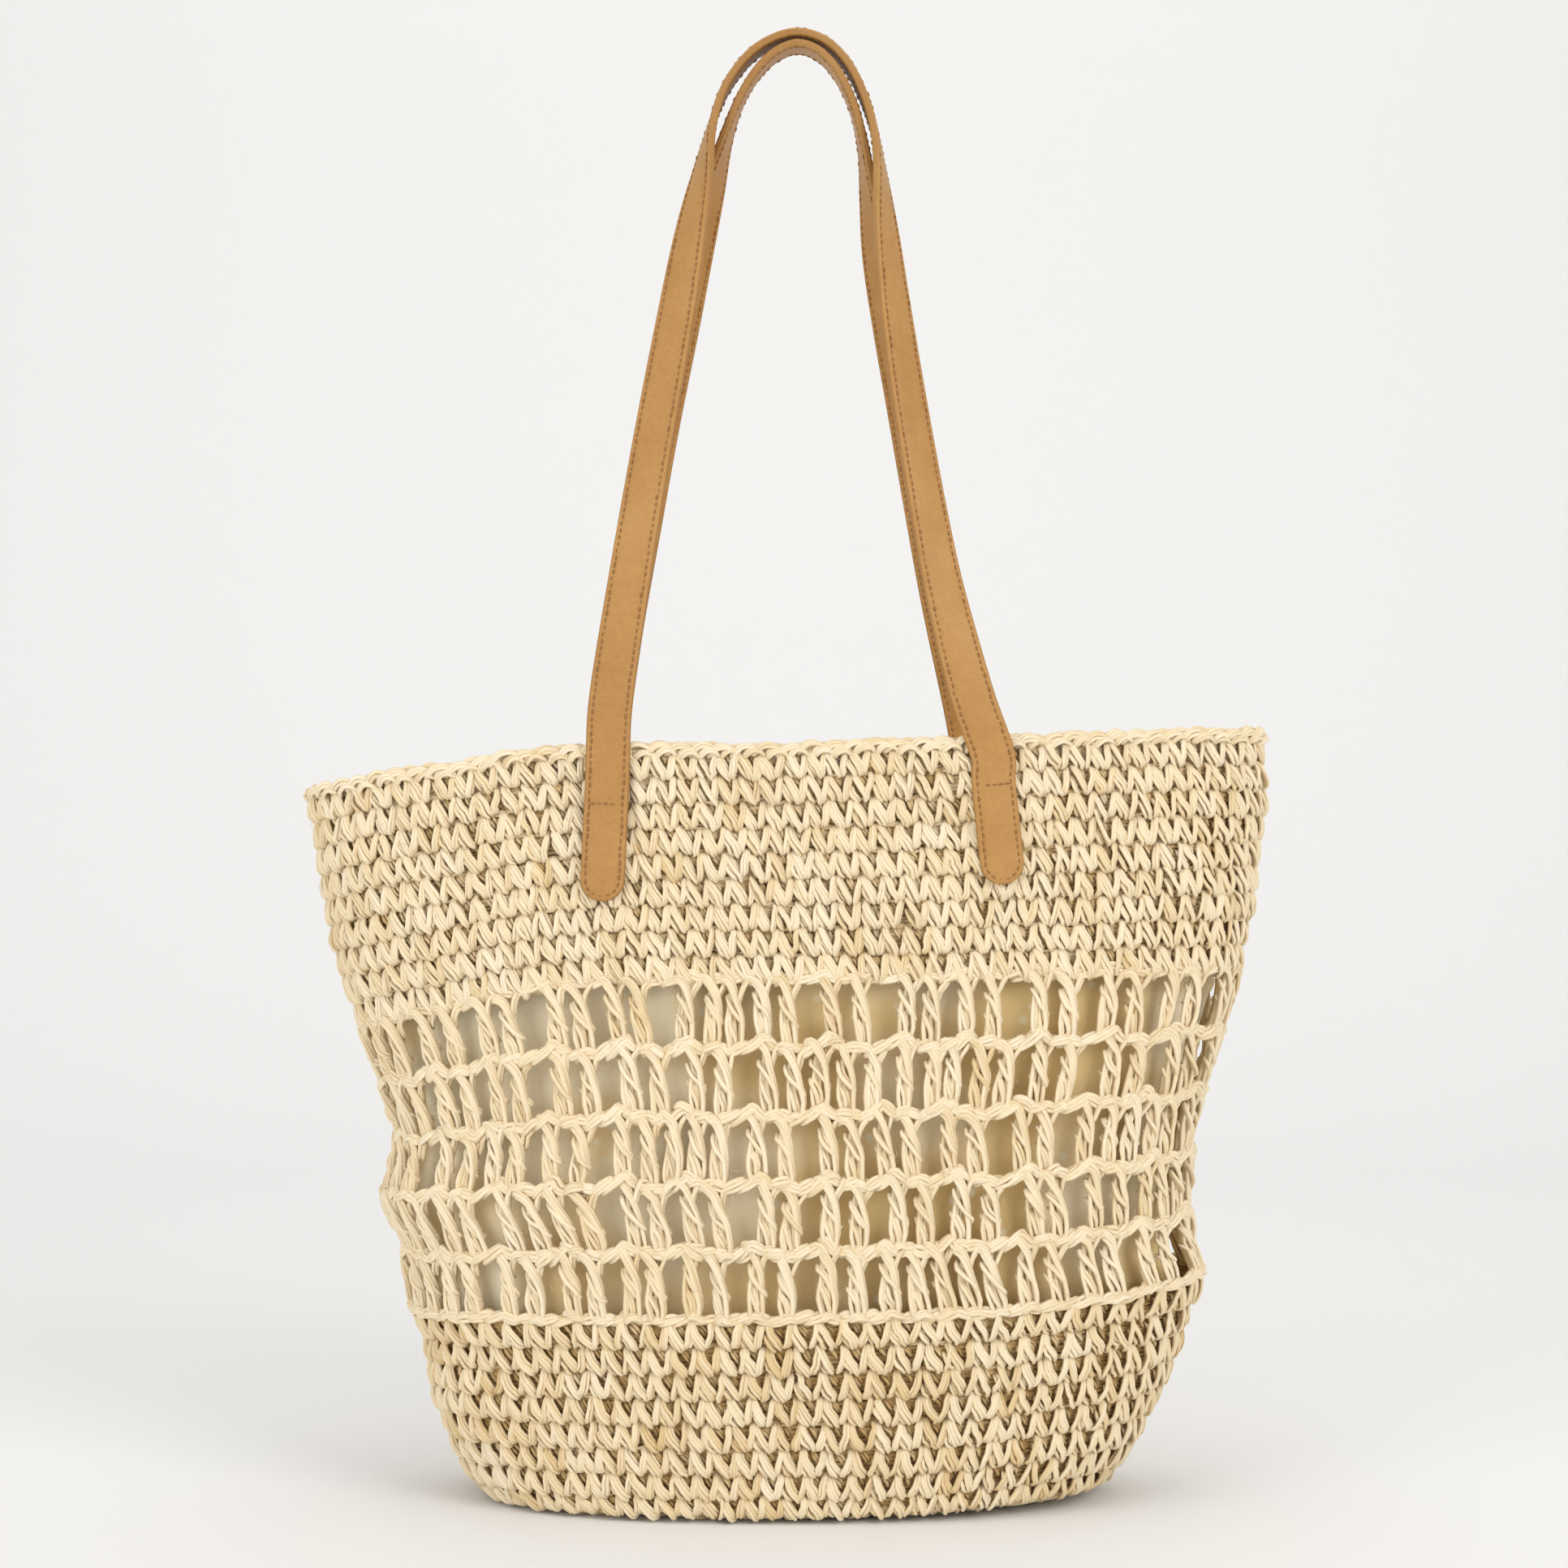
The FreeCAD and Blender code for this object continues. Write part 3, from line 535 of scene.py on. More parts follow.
                qat = np.stack([
                    np.stack([ua[:, :-1], va(r0[:, :-1])], -1), np.stack([ua[:, :-1], va(r0[:, :-1] + 1 / R)], -1),
                    np.stack([ua[:, 1:], va(r0[:, 1:] + 1 / R)], -1), np.stack([ua[:, 1:], va(r0[:, 1:])], -1)], -2)
                atlas.append(qat.reshape(-1, 2))
                ends = np.concatenate([idx[:, 0, ::-1], idx[:, -1, :]], 0)
                loops.append(ends.reshape(-1))
                totals.append(np.full(2 * N, R))
                w = np.arange(R) / R * 2 * np.pi
                disc = np.stack([np.cos(w), np.sin(w)], -1)
                au_end = np.concatenate([au[:, 0, :], au[:, -1, :]], 0)
                uv.append(np.concatenate([np.stack([np.broadcast_to(au_end, (2 * N, R)), np.broadcast_to(np.arange(R) / R, (2 * N, R))], -1)]).reshape(-1, 2))
                cxy = np.concatenate([np.stack([(cx[:, 0] + 0.925) / cols, (cy[:, 0] + 0.25) / rows], -1),
                                      np.stack([(cx[:, 0] + 0.925) / cols, (cy[:, 0] + 0.7) / rows], -1)], 0)
                atlas.append((cxy + disc[None] * np.array([0.035 / cols, 0.12 / rows])).reshape(-1, 2))
                tints.append(np.repeat(tint.reshape(-1), R))
                base += N * M * R
                cell += N
            loops, totals = np.concatenate(loops), np.concatenate(totals)
            starts = np.concatenate([[0], np.cumsum(totals)[:-1]])
            label = f"{name}_{k + 1}" if len(batches) > 1 else name
            ob = raw_mesh(label, np.concatenate(verts) * MM, loops, starts, totals, material or STRAW)
            for layer_name, data in (("OFBake", atlas), ("Yarn", uv)):
                layer = ob.data.uv_layers.new(name=layer_name, do_init=False)
                layer.data.foreach_set("uv", np.concatenate(data).astype(np.float32).ravel())
            at = ob.data.attributes.new("tint", "FLOAT", "POINT")
            at.data.foreach_set("value", np.concatenate(tints).astype(np.float32))
            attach(ob, body)
            if node:
                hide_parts(node)
            made.append(ob)
        return made


def stitch_places(v, count, phase, drift=0.0):
    t = (np.arange(count) + phase) / count
    return t + RNG.normal(0, 0.045, count) / count


def leg(yarn, t0, v0, pitch, rise, points, count, offsets, radius, jit=0.28, **kw):
    """points in stitch units: across 0..1, up 0..1, millimetres out."""
    N = len(t0)
    p = np.broadcast_to(np.array(points, float), (N, len(points), 3)).copy()
    p[..., 0] += RNG.normal(0, 0.045, (N, 1)) + RNG.normal(0, 0.026, p.shape[:2])
    p[..., 1] += RNG.normal(0, 0.04, (N, 1)) + RNG.normal(0, 0.012, p.shape[:2])
    p[..., 2] += RNG.normal(0, jit, (N, 1)) + RNG.normal(0, 0.1, p.shape[:2])
    q = spline(p, count)
    t = t0[:, None] + q[..., 0] * pitch[:, None]
    v = v0 + q[..., 1] * rise
    line, nn = on_wall(t, v, q[..., 2])
    yarn.strands(line, nn, offsets, radius, **kw)


THREE = [(-1.22, 0.0), (0.0, 0.42), (1.22, 0.05)]
TWO = [(-0.82, 0.0), (0.82, 0.12)]


def single_crochet(yarn, v0, count, phase, style, back=True, shade=0.55):
    t0 = stitch_places(v0, count, phase)
    pitch = np.full(count, 1.0 / count)
    tone = RNG.normal(0.62 if style == "upper" else 0.54, 0.10, (count, 1))
    if style == "upper":
        a1 = [(0.05, 0.99, -2.4), (0.09, 0.90, -0.5), (0.14, 0.76, 1.1), (0.27, 0.53, 2.0), (0.45, 0.27, 2.4), (0.56, 0.08, 2.2), (0.61, -0.02, 1.1), (0.62, -0.07, -0.9)]
        a2 = [(-0.04, 0.66, -1.0), (0.02, 0.48, 0.9), (0.14, 0.27, 1.7), (0.28, 0.08, 1.6), (0.36, -0.01, 0.8), (0.39, -0.06, -0.9)]
        b = [(0.94, 0.99, -2.4), (0.94, 0.90, -0.5), (0.92, 0.74, 1.0), (0.88, 0.48, 1.8), (0.83, 0.23, 2.1), (0.80, 0.07, 1.9), (0.78, -0.01, 1.0), (0.77, -0.06, -0.9)]
        inner = [(0.36, 0.92, -2.2), (0.46, 0.78, -1.3), (0.58, 0.62, -1.0), (0.70, 0.44, -1.6)]
    else:
        a1 = [(0.05, 0.99, -2.4), (0.08, 0.90, -0.5), (0.11, 0.74, 1.1), (0.21, 0.49, 2.1), (0.38, 0.25, 2.5), (0.51, 0.08, 2.2), (0.56, -0.02, 1.1), (0.57, -0.07, -0.9)]
        a2 = [(-0.03, 0.56, -1.0), (0.01, 0.40, 0.9), (0.11, 0.21, 1.6), (0.24, 0.07, 1.5), (0.31, -0.01, 0.8), (0.34, -0.06, -0.9)]
        b = [(0.95, 0.99, -2.4), (0.95, 0.90, -0.5), (0.93, 0.72, 1.2), (0.88, 0.45, 2.0), (0.82, 0.22, 2.2), (0.77, 0.07, 1.9), (0.74, -0.01, 1.0), (0.73, -0.06, -0.9)]
        inner = [(0.30, 0.90, -2.4), (0.42, 0.74, -1.6), (0.56, 0.58, -1.2), (0.70, 0.36, -1.8)]
    leg(yarn, t0, v0, pitch, 1.0, a1, 12, THREE, 0.98, jit=0.34, twist=0.05, spread=[0.62, 0.85, 1.0, 1.15, 1.2, 0.9], tint=tone)
    leg(yarn, t0, v0, pitch, 1.0, a2, 8, TWO, 0.96, jit=0.34, twist=0.06, spread=[0.8, 1.0, 1.1, 0.8], tint=tone - 0.05)
    leg(yarn, t0, v0, pitch, 1.0, b, 11, [(-1.06, 0.0), (0.0, 0.36), (1.06, 0.0)], 0.94, jit=0.34, twist=0.05, spread=[0.62, 0.85, 1, 1.05, 1.0, 0.8], tint=tone)
    # the strand seen inside the hole of the stitch, its tint lowered as painted shade in the hole
    leg(yarn, t0, v0, pitch, 1.0, inner, 7, TWO, 0.85, twist=0.1, tint=tone - (0.28 if style == "upper" else 0.42))
    # top of the stitch, half hidden under the next round, its tint lowered as painted shade
    top = [(-0.08, 0.97, -2.2), (0.22, 1.00, -1.1), (0.55, 0.95, -0.9), (0.85, 0.99, -1.2), (1.10, 0.97, -2.2)]
    leg(yarn, t0, v0, pitch, 1.0, top, 8, [(-0.6, 0), (0.6, 0)], 0.8, twist=0.3, tint=tone - (0.22 if style == "upper" else 0.34))
    if back:
        for y in (0.30, 0.72):
            bar = [(-0.12, y + 0.02, -2.2), (0.25, y - 0.02, -2.7), (0.65, y, -2.8), (1.12, y + 0.03, -2.2)]
            leg(yarn, t0, v0, pitch, 1.0, bar, 5, [(-1.9, 0), (0, 0.3), (1.9, 0)], 1.15, tint=tone - shade)


# ------------------------------------------------------------------ dense bands, base
base = Yarn()
for k in range(6):
    v0 = -1.0 - k
    count = max(34, int(round(perimeter(v0 + 0.5) / 10.6)))
    single_crochet(base, v0, count, 0.37 * k, "lower", back=False)
centre = np.linspace(0, 1, 60)
base.write("base_crochet", "crochet_base")

lower = Yarn()
for k in range(8):
    single_crochet(lower, float(k), 76, 0.9 - 0.12 * k, "lower", shade=0.62)
lower.write("lower_rounds", "crochet_lower_band")

upper = Yarn()
for k in range(8):
    single_crochet(upper, 13.0 + k, 97, 0.9 - 0.11 * k, "upper", shade=0.44 if k < 7 else 0.30)
upper.write("upper_rounds", "crochet_upper_band")

rim = Yarn()
single_crochet(rim, 21.0, 97, 0.9 - 0.11 * 8, "upper", shade=0.2)
# the chain that lies along the mouth: fat overlapping loops, one to a stitch
for out, lift, ph in ((1.9, 0.0, 0.0), (-1.9, 0.03, 0.45)):
    t0 = stitch_places(22, 97, ph)
    pitch = np.full(97, 1 / 97)
    fat = [(-0.30, 0.78 + lift, out * 0.2), (-0.08, 0.98 + lift, out * 1.1), (0.22, 1.14 + lift, out * 1.35), (0.56, 1.13 + lift, out * 1.0),
           (0.88, 1.00 + lift, out * 0.5), (1.08, 0.82 + lift, -out * 0.1)]
    leg(rim, t0, 21.0, pitch, 1.0, fat, 12, [(-1.25, 0), (0.0, 0.7), (1.2, 0)], 1.0, jit=0.55, twist=0.10, spread=[0.5, 1.0, 1.2, 1.0, 0.45])
low = [(0.06, 0.66, 0.4), (0.22, 0.86, 2.4), (0.50, 0.99, 3.0), (0.80, 0.93, 2.4), (1.02, 0.74, 0.4)]
leg(rim, stitch_places(22, 97, 0.2), 21.0, np.full(97, 1 / 97), 1.0, low, 9, THREE, 0.95, jit=0.45, twist=0.1, spread=[0.5, 1.0, 1.1, 0.9, 0.4])
rim.write("rim_round", "crochet_rim_round")

# ------------------------------------------------------------------ openwork
posts = Yarn()
PAIRS = 29
POST_GAP = 6.1
row_phase = [0.0, 0.13, -0.03, 0.12, 0.04]
PAIR_T = [np.sort((np.arange(PAIRS) + row_phase[r]) / PAIRS + RNG.normal(0, 0.055, PAIRS) / PAIRS) for r in range(5)]


def pair_gaps(line_no):
    """Middle of each pair of posts under a chain, the next pair's, half a pair and the opening between, in turns."""
    per = perimeter(8.0 + line_no)
    c = PAIR_T[max(line_no - 1, 0)]
    nxt = np.roll(c, -1)
    nxt[-1] += 1
    a = POST_GAP / per
    return per, c, nxt, a, nxt - c - 2 * a


def arch_of(line_no):
    """How far the chain stands above its line, millimetres: it climbs over an opening and drops at a post."""
    per, c, nxt, a, gap = pair_gaps(line_no)
    size = 1.0 if 0 < line_no < 5 else 0.35
    keys = np.stack([c - a, c, c + a, c + a + 0.35 * gap, c + a + 0.7 * gap, nxt - a - 2.2 / per], 1)
    vals = np.array([1.3, -0.2, -1.4, -0.7, 1.0, 2.9]) + RNG.normal(0, 0.45, (PAIRS, 6))
    t, y = keys.ravel(), vals.ravel() * size
    t, y = np.concatenate([t - 1, t, t + 1]), np.tile(y, 3)
    return lambda x: np.interp(x, t, y)


ARCH = [arch_of(k) for k in range(6)]


def beside_line(line_no, t, y, out):
    """Place y millimetres above a chain's line."""
    up = 11.3 if line_no == 5 else 30.4
    down = 11.5 if line_no == 0 else 30.4
    return on_wall(t, 8.0 + line_no + np.where(y > 0, y / up, y / down), out)


for row in range(5):
    v0 = 8.0 + row
    per = perimeter(v0 + 0.5)
    base_t, lean = [], []
    for t in PAIR_T[row]:
        triple = RNG.uniform() < 0.16
        xs = (-11.0, 0.0, 10.8) if triple else (-POST_GAP, POST_GAP)
        tilt = RNG.normal(-0.3, 0.9)
        for x in xs:
            base_t.append(t + (x + RNG.normal(0, 0.6)) / per)
            lean.append(tilt + RNG.normal(0, 0.5))
    base_t, lean = np.array(base_t), np.array(lean)
    N = len(base_t)
    tint = RNG.normal(0.64, 0.08, (N, 1))
    foot, head = ARCH[row](base_t)[:, None] / 30.4, ARCH[row + 1](base_t)[:, None] / 30.4
    fat = RNG.normal(1.07, 0.08, (N, 1))

    def put(points, count, offsets, radius, jit=0.25, tone=0.0, **kw):
        p = np.broadcast_to(np.array(points, float), (N, len(points), 3)).copy()
        p[..., 0] = p[..., 0] * fat + lean[:, None] * (p[..., 1] - 0.4) * 1.5 + RNG.normal(0, 0.32, p.shape[:2])
        up = p[..., 1] + RNG.normal(0, 0.014, p.shape[:2])
        p[..., 1] = up + foot * np.clip(1 - up, 0, 1) + head * np.clip(up, 0, 1)
        p[..., 2] += RNG.normal(0, jit, (N, 1)) + RNG.normal(0, 0.15, p.shape[:2])
        q = spline(p, count)
        line, nn = on_wall(base_t[:, None] + q[..., 0] / per, v0 + q[..., 1], q[..., 2])
        posts.strands(line, nn, offsets, radius * 1.09, tint=tint + tone, **kw)

    # the two bundles of the shank, splayed at the foot
    put([(-0.4, 0.90, -0.6), (-1.2, 0.76, 0.7), (-2.2, 0.55, 1.3), (-2.9, 0.30, 1.5), (-2.6, 0.10, 1.1), (-2.0, -0.05, -1.0)], 12,
        THREE, 0.98, jit=0.4, twist=0.05, spread=[0.6, 0.7, 0.8, 1.0, 1.0, 0.6])
    put([(2.4, 0.99, -0.8), (1.6, 0.82, 0.0), (0.4, 0.60, 0.4), (-0.1, 0.34, 0.8), (0.1, 0.12, 0.6), (0.2, -0.06, -1.2)], 11,
        TWO, 0.98, jit=0.4, twist=0.08, tone=-0.14)
    # the thick arm that comes off the chain at the left, crosses in front and runs down the right
    put([(-7.2, 0.93, -0.8), (-5.8, 1.01, 1.4), (-3.4, 0.99, 2.9), (-1.2, 0.87, 3.3), (0.7, 0.69, 3.1), (2.0, 0.47, 2.3), (2.5, 0.24, 1.6), (2.1, 0.06, 0.7), (1.6, -0.05, -1.0)], 18,
        THREE, 1.06, jit=0.4, twist=0.05, spread=[0.5, 1.0, 1.15, 0.95, 0.8, 0.9, 1.0, 0.9, 0.6])
    # wraps across the middle
    put([(-3.2, 0.78, -0.6), (-3.1, 0.71, 1.4), (-1.4, 0.59, 3.0), (0.9, 0.46, 3.3), (2.9, 0.36, 1.8), (3.3, 0.32, -0.6)], 10, TWO, 1.0, jit=0.5, twist=0.06, spread=[0.7, 1.1, 1.15, 1.0, 0.6])
    put([(-3.2, 0.50, -0.4), (-2.4, 0.42, 2.0), (-0.9, 0.28, 2.5), (0.1, 0.15, 1.6), (0.3, 0.04, 0.2)], 8, TWO, 0.95, jit=0.4, twist=0.06, tone=-0.04)
    # the short right arm
    put([(5.6, 0.97, -0.8), (4.9, 0.98, 1.2), (3.4, 0.90, 2.0), (2.0, 0.78, 1.5), (1.0, 0.64, 0.0)], 9, TWO, 1.0, jit=0.4, twist=0.08, tone=-0.04)
    # the turn of yarn that ties the foot to the chain
    put([(-4.4, -0.08, -0.8), (-2.6, 0.00, 1.9), (0.0, 0.04, 2.7), (2.5, 0.02, 1.9), (4.2, -0.03, -0.8)], 8, THREE, 0.96, jit=0.4, twist=0.1, spread=[0.5, 1.0, 1.0, 0.5])

# the chains between the openwork rounds: a hidden rope and thick slanting links over it
for line_no in range(6):
    per, c, nxt, a, gap = pair_gaps(line_no)
    rise = ARCH[line_no]
    t = np.linspace(0, 1, 521)
    y = rise(t)
    for _ in range(2):
        y = np.convolve(np.pad(y, 2, mode="wrap"), np.ones(5) / 5, mode="valid")
    # the hidden rope gets a low fixed tint: painted shade under the links
    for strand in range(3):
        w = t * per / 12.0 * 2 * np.pi + strand * math.pi * 2 / 3
        line, nn = beside_line(line_no, t[None], (y + 1.0 * np.cos(w))[None], (0.2 + 0.9 * np.sin(w))[None])
        posts.strands(line, nn, [(-0.55, 0), (0.55, 0.1)], 0.85, twist=0.3, tint=np.full((1, 1), 0.34))
    runs = [(c + a + 0.4 / per, c + a + 0.60 * gap), (c + a + 0.36 * gap, nxt - a + 0.4 / per),
            (nxt - a - 5.0 / per, nxt - a + 4.6 / per), (nxt - a + 2.6 / per, nxt + a - 0.4 / per), (nxt + a - 3.4 / per, nxt + a + 3.8 / per)]
    slants = [(-2.8, 1.8), (-3.0, 1.5), (1.8, -2.1), (-2.2, 1.6), (1.4, -1.4)]
    flat = 1.0 if 0 < line_no < 5 else 0.55
    for (ta, tb), (ya, yb) in zip(runs, slants):
        f = np.array([0, 0.14, 0.34, 0.6, 0.82, 1.0])
        at = ta[:, None] + (tb - ta)[:, None] * f + RNG.normal(0, 0.6 / per, (PAIRS, 1))
        k = RNG.normal(1.0, 0.22, (PAIRS, 1)) * flat
        yy = rise(at) + (ya * (1 - f) + yb * f) * k + 0.7 * np.sin(math.pi * f) + RNG.normal(0, 0.5, (PAIRS, 1))
        oo = np.array([-0.9, 1.3, 2.5, 2.7, 1.8, -0.8]) * flat + RNG.normal(0, 0.4, (PAIRS, 1))
        q = spline(np.stack([at * 1000, yy, oo], -1), 12)
        line, nn = beside_line(line_no, q[..., 0] / 1000, q[..., 1], q[..., 2])
        posts.strands(line, nn, THREE, 1.14, twist=0.04, spread=[0.2, 0.95, 1.4, 1.25, 0.3], tint=RNG.normal(0.66, 0.07, (PAIRS, 1)))
posts.write("openwork_rounds", "crochet_openwork_band")

# ------------------------------------------------------------------ a few loose fibres
fuzz = Yarn(4)
N = 340
ft = RNG.uniform(0, 1, N)
fv = np.concatenate([RNG.uniform(0.5, 8, 90), RNG.uniform(8, 13, 110), RNG.uniform(13, 21.5, 110), RNG.uniform(21.5, 22.0, 30)])
length = RNG.uniform(2.5, 7.0, N)
way = RNG.uniform(0, 2 * np.pi, N)
f = np.linspace(0, 1, 6)[None]
bend = RNG.uniform(-1.2, 1.2, (N, 1))
ang = way[:, None] + bend * f
xx = np.cumsum(np.cos(ang), 1) / 6 * length[:, None]
yy = np.cumsum(np.sin(ang), 1) / 6 * length[:, None]
lift = 3.2 + RNG.uniform(0.2, 1.6, (N, 1)) * np.sin(math.pi * 0.75 * f)
row_h = np.where((fv > 8) & (fv < 13), 30.4, 11.4)[:, None]
line, nn = on_wall(ft[:, None] + xx / 1000, np.clip(fv[:, None] + yy / row_h, 0, 22.4), lift)
fuzz.strands(line, nn, [(0, 0)], 0.10, tint=RNG.uniform(0.6, 1.0, (N, 1)))
fuzz.write("loose_fibres", None)

# ------------------------------------------------------------------ base middle seam
mid = Yarn()
rows = []
half_len = (X_RIGHT(3.0) - X_LEFT(3.0)) / 2 - 62
xs = np.linspace(-half_len + 3, half_len + 3, 17)
for sgn in (-1, 1):
    line = []
    for x in xs[:-1]:
        line.append([(x, sgn * 4.4, 2.6), (x + 4, sgn * 3.4, 1.2), (x + 8.5, sgn * 1.0, 1.1), (x + 11.5, -sgn * 1.6, 2.6)])
    line = spline(np.array(line, float), 8)
    nn = np.zeros_like(line); nn[..., 2] = -1
    mid.strands(line, nn, [(-1.3, 0), (0, 0.4), (1.3, 0)], 0.85, twist=0.15)
mid.write("base_start_chain", "crochet_base")

# ------------------------------------------------------------------ lining
def skin(name, v_lo, v_hi, nv, nt, depth_fn, thick, uv_name, material, closed_floor=False):
    """A closed thin skin: an outer and an inner face joined along both edges."""
    t = np.arange(nt) / nt
    v = np.linspace(v_lo, v_hi, nv)
    T, Vv = np.meshgrid(t, v)
    d = depth_fn(T, Vv)
    outer, _ = on_wall(T, Vv, -d)
    inner, _ = on_wall(T, Vv, -(d + thick))
    verts = np.concatenate([outer.reshape(-1, 3), inner.reshape(-1, 3)]) * MM
    faces, uvs = [], []
    off = nv * nt
    cx, cy = 1.0, 1.0
    per = perimeter(v) / 1000
    rise = np.concatenate([[0], np.cumsum(np.linalg.norm(np.diff(outer[:, nt // 4], axis=0), axis=1))]) / 1000
    for i in range(nv - 1):
        for j in range(nt):
            k = (j + 1) % nt
            a, b, c, e = i * nt + j, i * nt + k, (i + 1) * nt + k, (i + 1) * nt + j
            faces.append((a, b, c, e))
            faces.append((off + a, off + e, off + c, off + b))
            q = [(j / nt, rise[i]), ((j + 1) / nt, rise[i]), ((j + 1) / nt, rise[i + 1]), (j / nt, rise[i + 1])]
            uvs += q + [q[0], q[3], q[2], q[1]]
    for i in (0, nv - 1):
        for j in range(nt):
            k = (j + 1) % nt
            a, b = i * nt + j, i * nt + k
            f = (a, off + a, off + b, b) if i == 0 else (a, b, off + b, off + a)
            faces.append(f)
            uvs += [(j / nt, rise[i])] * 4
    if closed_floor:
        faces.append(tuple(range(nt - 1, -1, -1)))
        uvs += [(0.5, 0)] * nt
        faces.append(tuple(off + j for j in range(nt)))
        uvs += [(0.5, 0)] * nt
        # the ring between the two floors isn't wanted then
        drop = (nv - 1) * nt * 2
        del faces[drop:drop + nt]
        del uvs[(nv - 1) * nt * 8:(nv - 1) * nt * 8 + nt * 4]
    ob = new_object(name, verts, faces, material)
    at = ob.data.attributes.new("inner", "FLOAT", "POINT")
    at.data.foreach_set("value", np.concatenate([np.full(off, 1.0 if name.endswith("band") else 0.0), np.ones(off)]).astype(np.float32))
    layer = ob.data.uv_layers.new(name=uv_name)
    layer.data.foreach_set("uv", np.array(uvs, np.float32).ravel())
    return ob, outer


def lining_depth(T, Vv):
    w = T * 2 * np.pi
    folds = 1.6 * np.sin(9 * w + 0.6 * Vv) + 1.2 * np.sin(17 * w - 0.4 * Vv + 1) + 0.9 * np.sin(5 * w + 1.3 * Vv + 2) + 0.8 * np.sin(1.9 * Vv + 3 * w)
    free = smooth(Vv, 1.0, 6) * (1 - smooth(Vv, 19.0, 20.6))
    return 7.6 + (1.6 + folds) * free


LIN_TOP = 20.75
lining, lin_out = skin("lining_cloth", -5.6, LIN_TOP, 116, 420, lining_depth, 0.6, "Cloth", CLOTH, closed_floor=True)
hem_depth = lambda T, Vv: lining_depth(T, Vv) + 0.75 + 0.35 * np.sin(np.pi * (Vv - 19.6) / 1.2)
hem, _ = skin("lining_hem_band", 19.55, LIN_TOP + 0.06, 8, 420, hem_depth, 0.9, "Cloth", CLOTH)
for ob, node in ((lining, "lining_bag"), (hem, "lining_hem")):
    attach(ob, "bag")
    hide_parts(node)
hem_stitch = Yarn(6)
M = 260
t0 = np.arange(M) / M
q = np.array([(0.0, 0, 0), (0.18, 0, 0.3), (0.5, 0, 0.3), (0.62, 0, 0)], float)
pp = spline(np.broadcast_to(q, (M, 4, 3)).copy(), 6)
tt = t0[:, None] + pp[..., 0] / M
vv = np.full_like(tt, 19.75)
hd = hem_depth(tt, vv) + 0.9
line, nn = on_wall(tt, vv, -(hd + 0.1 + pp[..., 2]))
hem_stitch.strands(line, -nn, [(0, 0)], 0.28)
hem_sewn = hem_stitch.write("hem_stitching", None, material=THREAD, slot="seam_thread")

# ------------------------------------------------------------------ straps
FRONT_ROUTE = [
    (-79.8, -55.0, 367.7, 0), (-73.6, -47.0, 412.0, 14), (-66.7, -38.0, 457.0, 20), (-59.2, -29.0, 502.5, 23),
    (-51.2, -20.5, 548.5, 30), (-45.4, -14.5, 583.5, 42), (-40.4, -10.0, 611.0, 60), (-36.4, -5.0, 634.0, 83),
    (-29.8, -1.5, 654.0, 90), (-19.0, 0.0, 669.5, 90), (-7.4, 0.0, 677.6, 90), (5.2, 0.0, 680.6, 90),
    (18.0, 0.0, 676.6, 90), (28.4, 0.0, 666.0, 90), (36.0, -1.0, 650.4, 90), (41.0, -3.5, 633.0, 87),
    (43.6, -8.0, 613.0, 76), (45.4, -13.0, 591.0, 60), (48.6, -18.5, 560.0, 48), (53.0, -25.0, 525.5, 40),
    (58.2, -31.5, 491.0, 36), (63.8, -38.0, 457.0, 33), (70.0, -44.5, 423.3, 26), (77.0, -50.5, 393.5, 13),
    (84.0, -55.0, 367.7, 2)]
BACK_ROUTE = [
    (-86.0, 55.0, 367.7, 0), (-78.5, 47.0, 412.0, 10), (-69.8, 38.0, 457.0, 18), (-60.8, 29.0, 502.5, 24),
    (-50.6, 20.5, 548.5, 32), (-42.8, 14.5, 583.0, 44), (-35.8, 10.0, 609.0, 62), (-29.4, 5.0, 632.0, 83),
    (-22.6, 2.0, 650.0, 90), (-14.6, 0.5, 663.0, 90), (-5.6, 0.0, 671.6, 90), (4.8, 0.0, 675.4, 90),
    (15.2, 0.0, 671.6, 90), (24.2, 0.0, 661.2, 90), (31.2, 1.0, 646.0, 90), (35.8, 4.0, 627.0, 86),
    (38.6, 9.0, 605.0, 72), (42.0, 14.5, 580.0, 56), (48.2, 21.0, 548.5, 44), (56.4, 29.0, 508.0, 36),
    (65.4, 38.0, 462.0, 28), (74.4, 46.5, 418.0, 16), (85.6, 55.0, 367.7, 2)]
# tab: foot height, x at the foot, x at the top of the seam, cross seam height
TABS = {"front": [(-1, 277.6, -83.6, -81.2, 320.0), (-1, 285.2, 97.2, 92.6, 329.5)],
        "back": [(1, 281.0, -90.0, -87.8, 322.0), (1, 283.0, 93.0, 90.0, 322.0)]}
STRAP_W, STRAP_T = 10.0, 3.7


def wall_face(x, z, side):
    """Outer face of the crochet at x, z: y."""
    a = (X_RIGHT(z) - X_LEFT(z)) / 2
    xc = (X_RIGHT(z) + X_LEFT(z)) / 2
    b = DEPTH(z)
    return side * b * (1 - np.minimum(0.999, np.abs((x - xc) / a)) ** POWER) ** (1 / POWER)


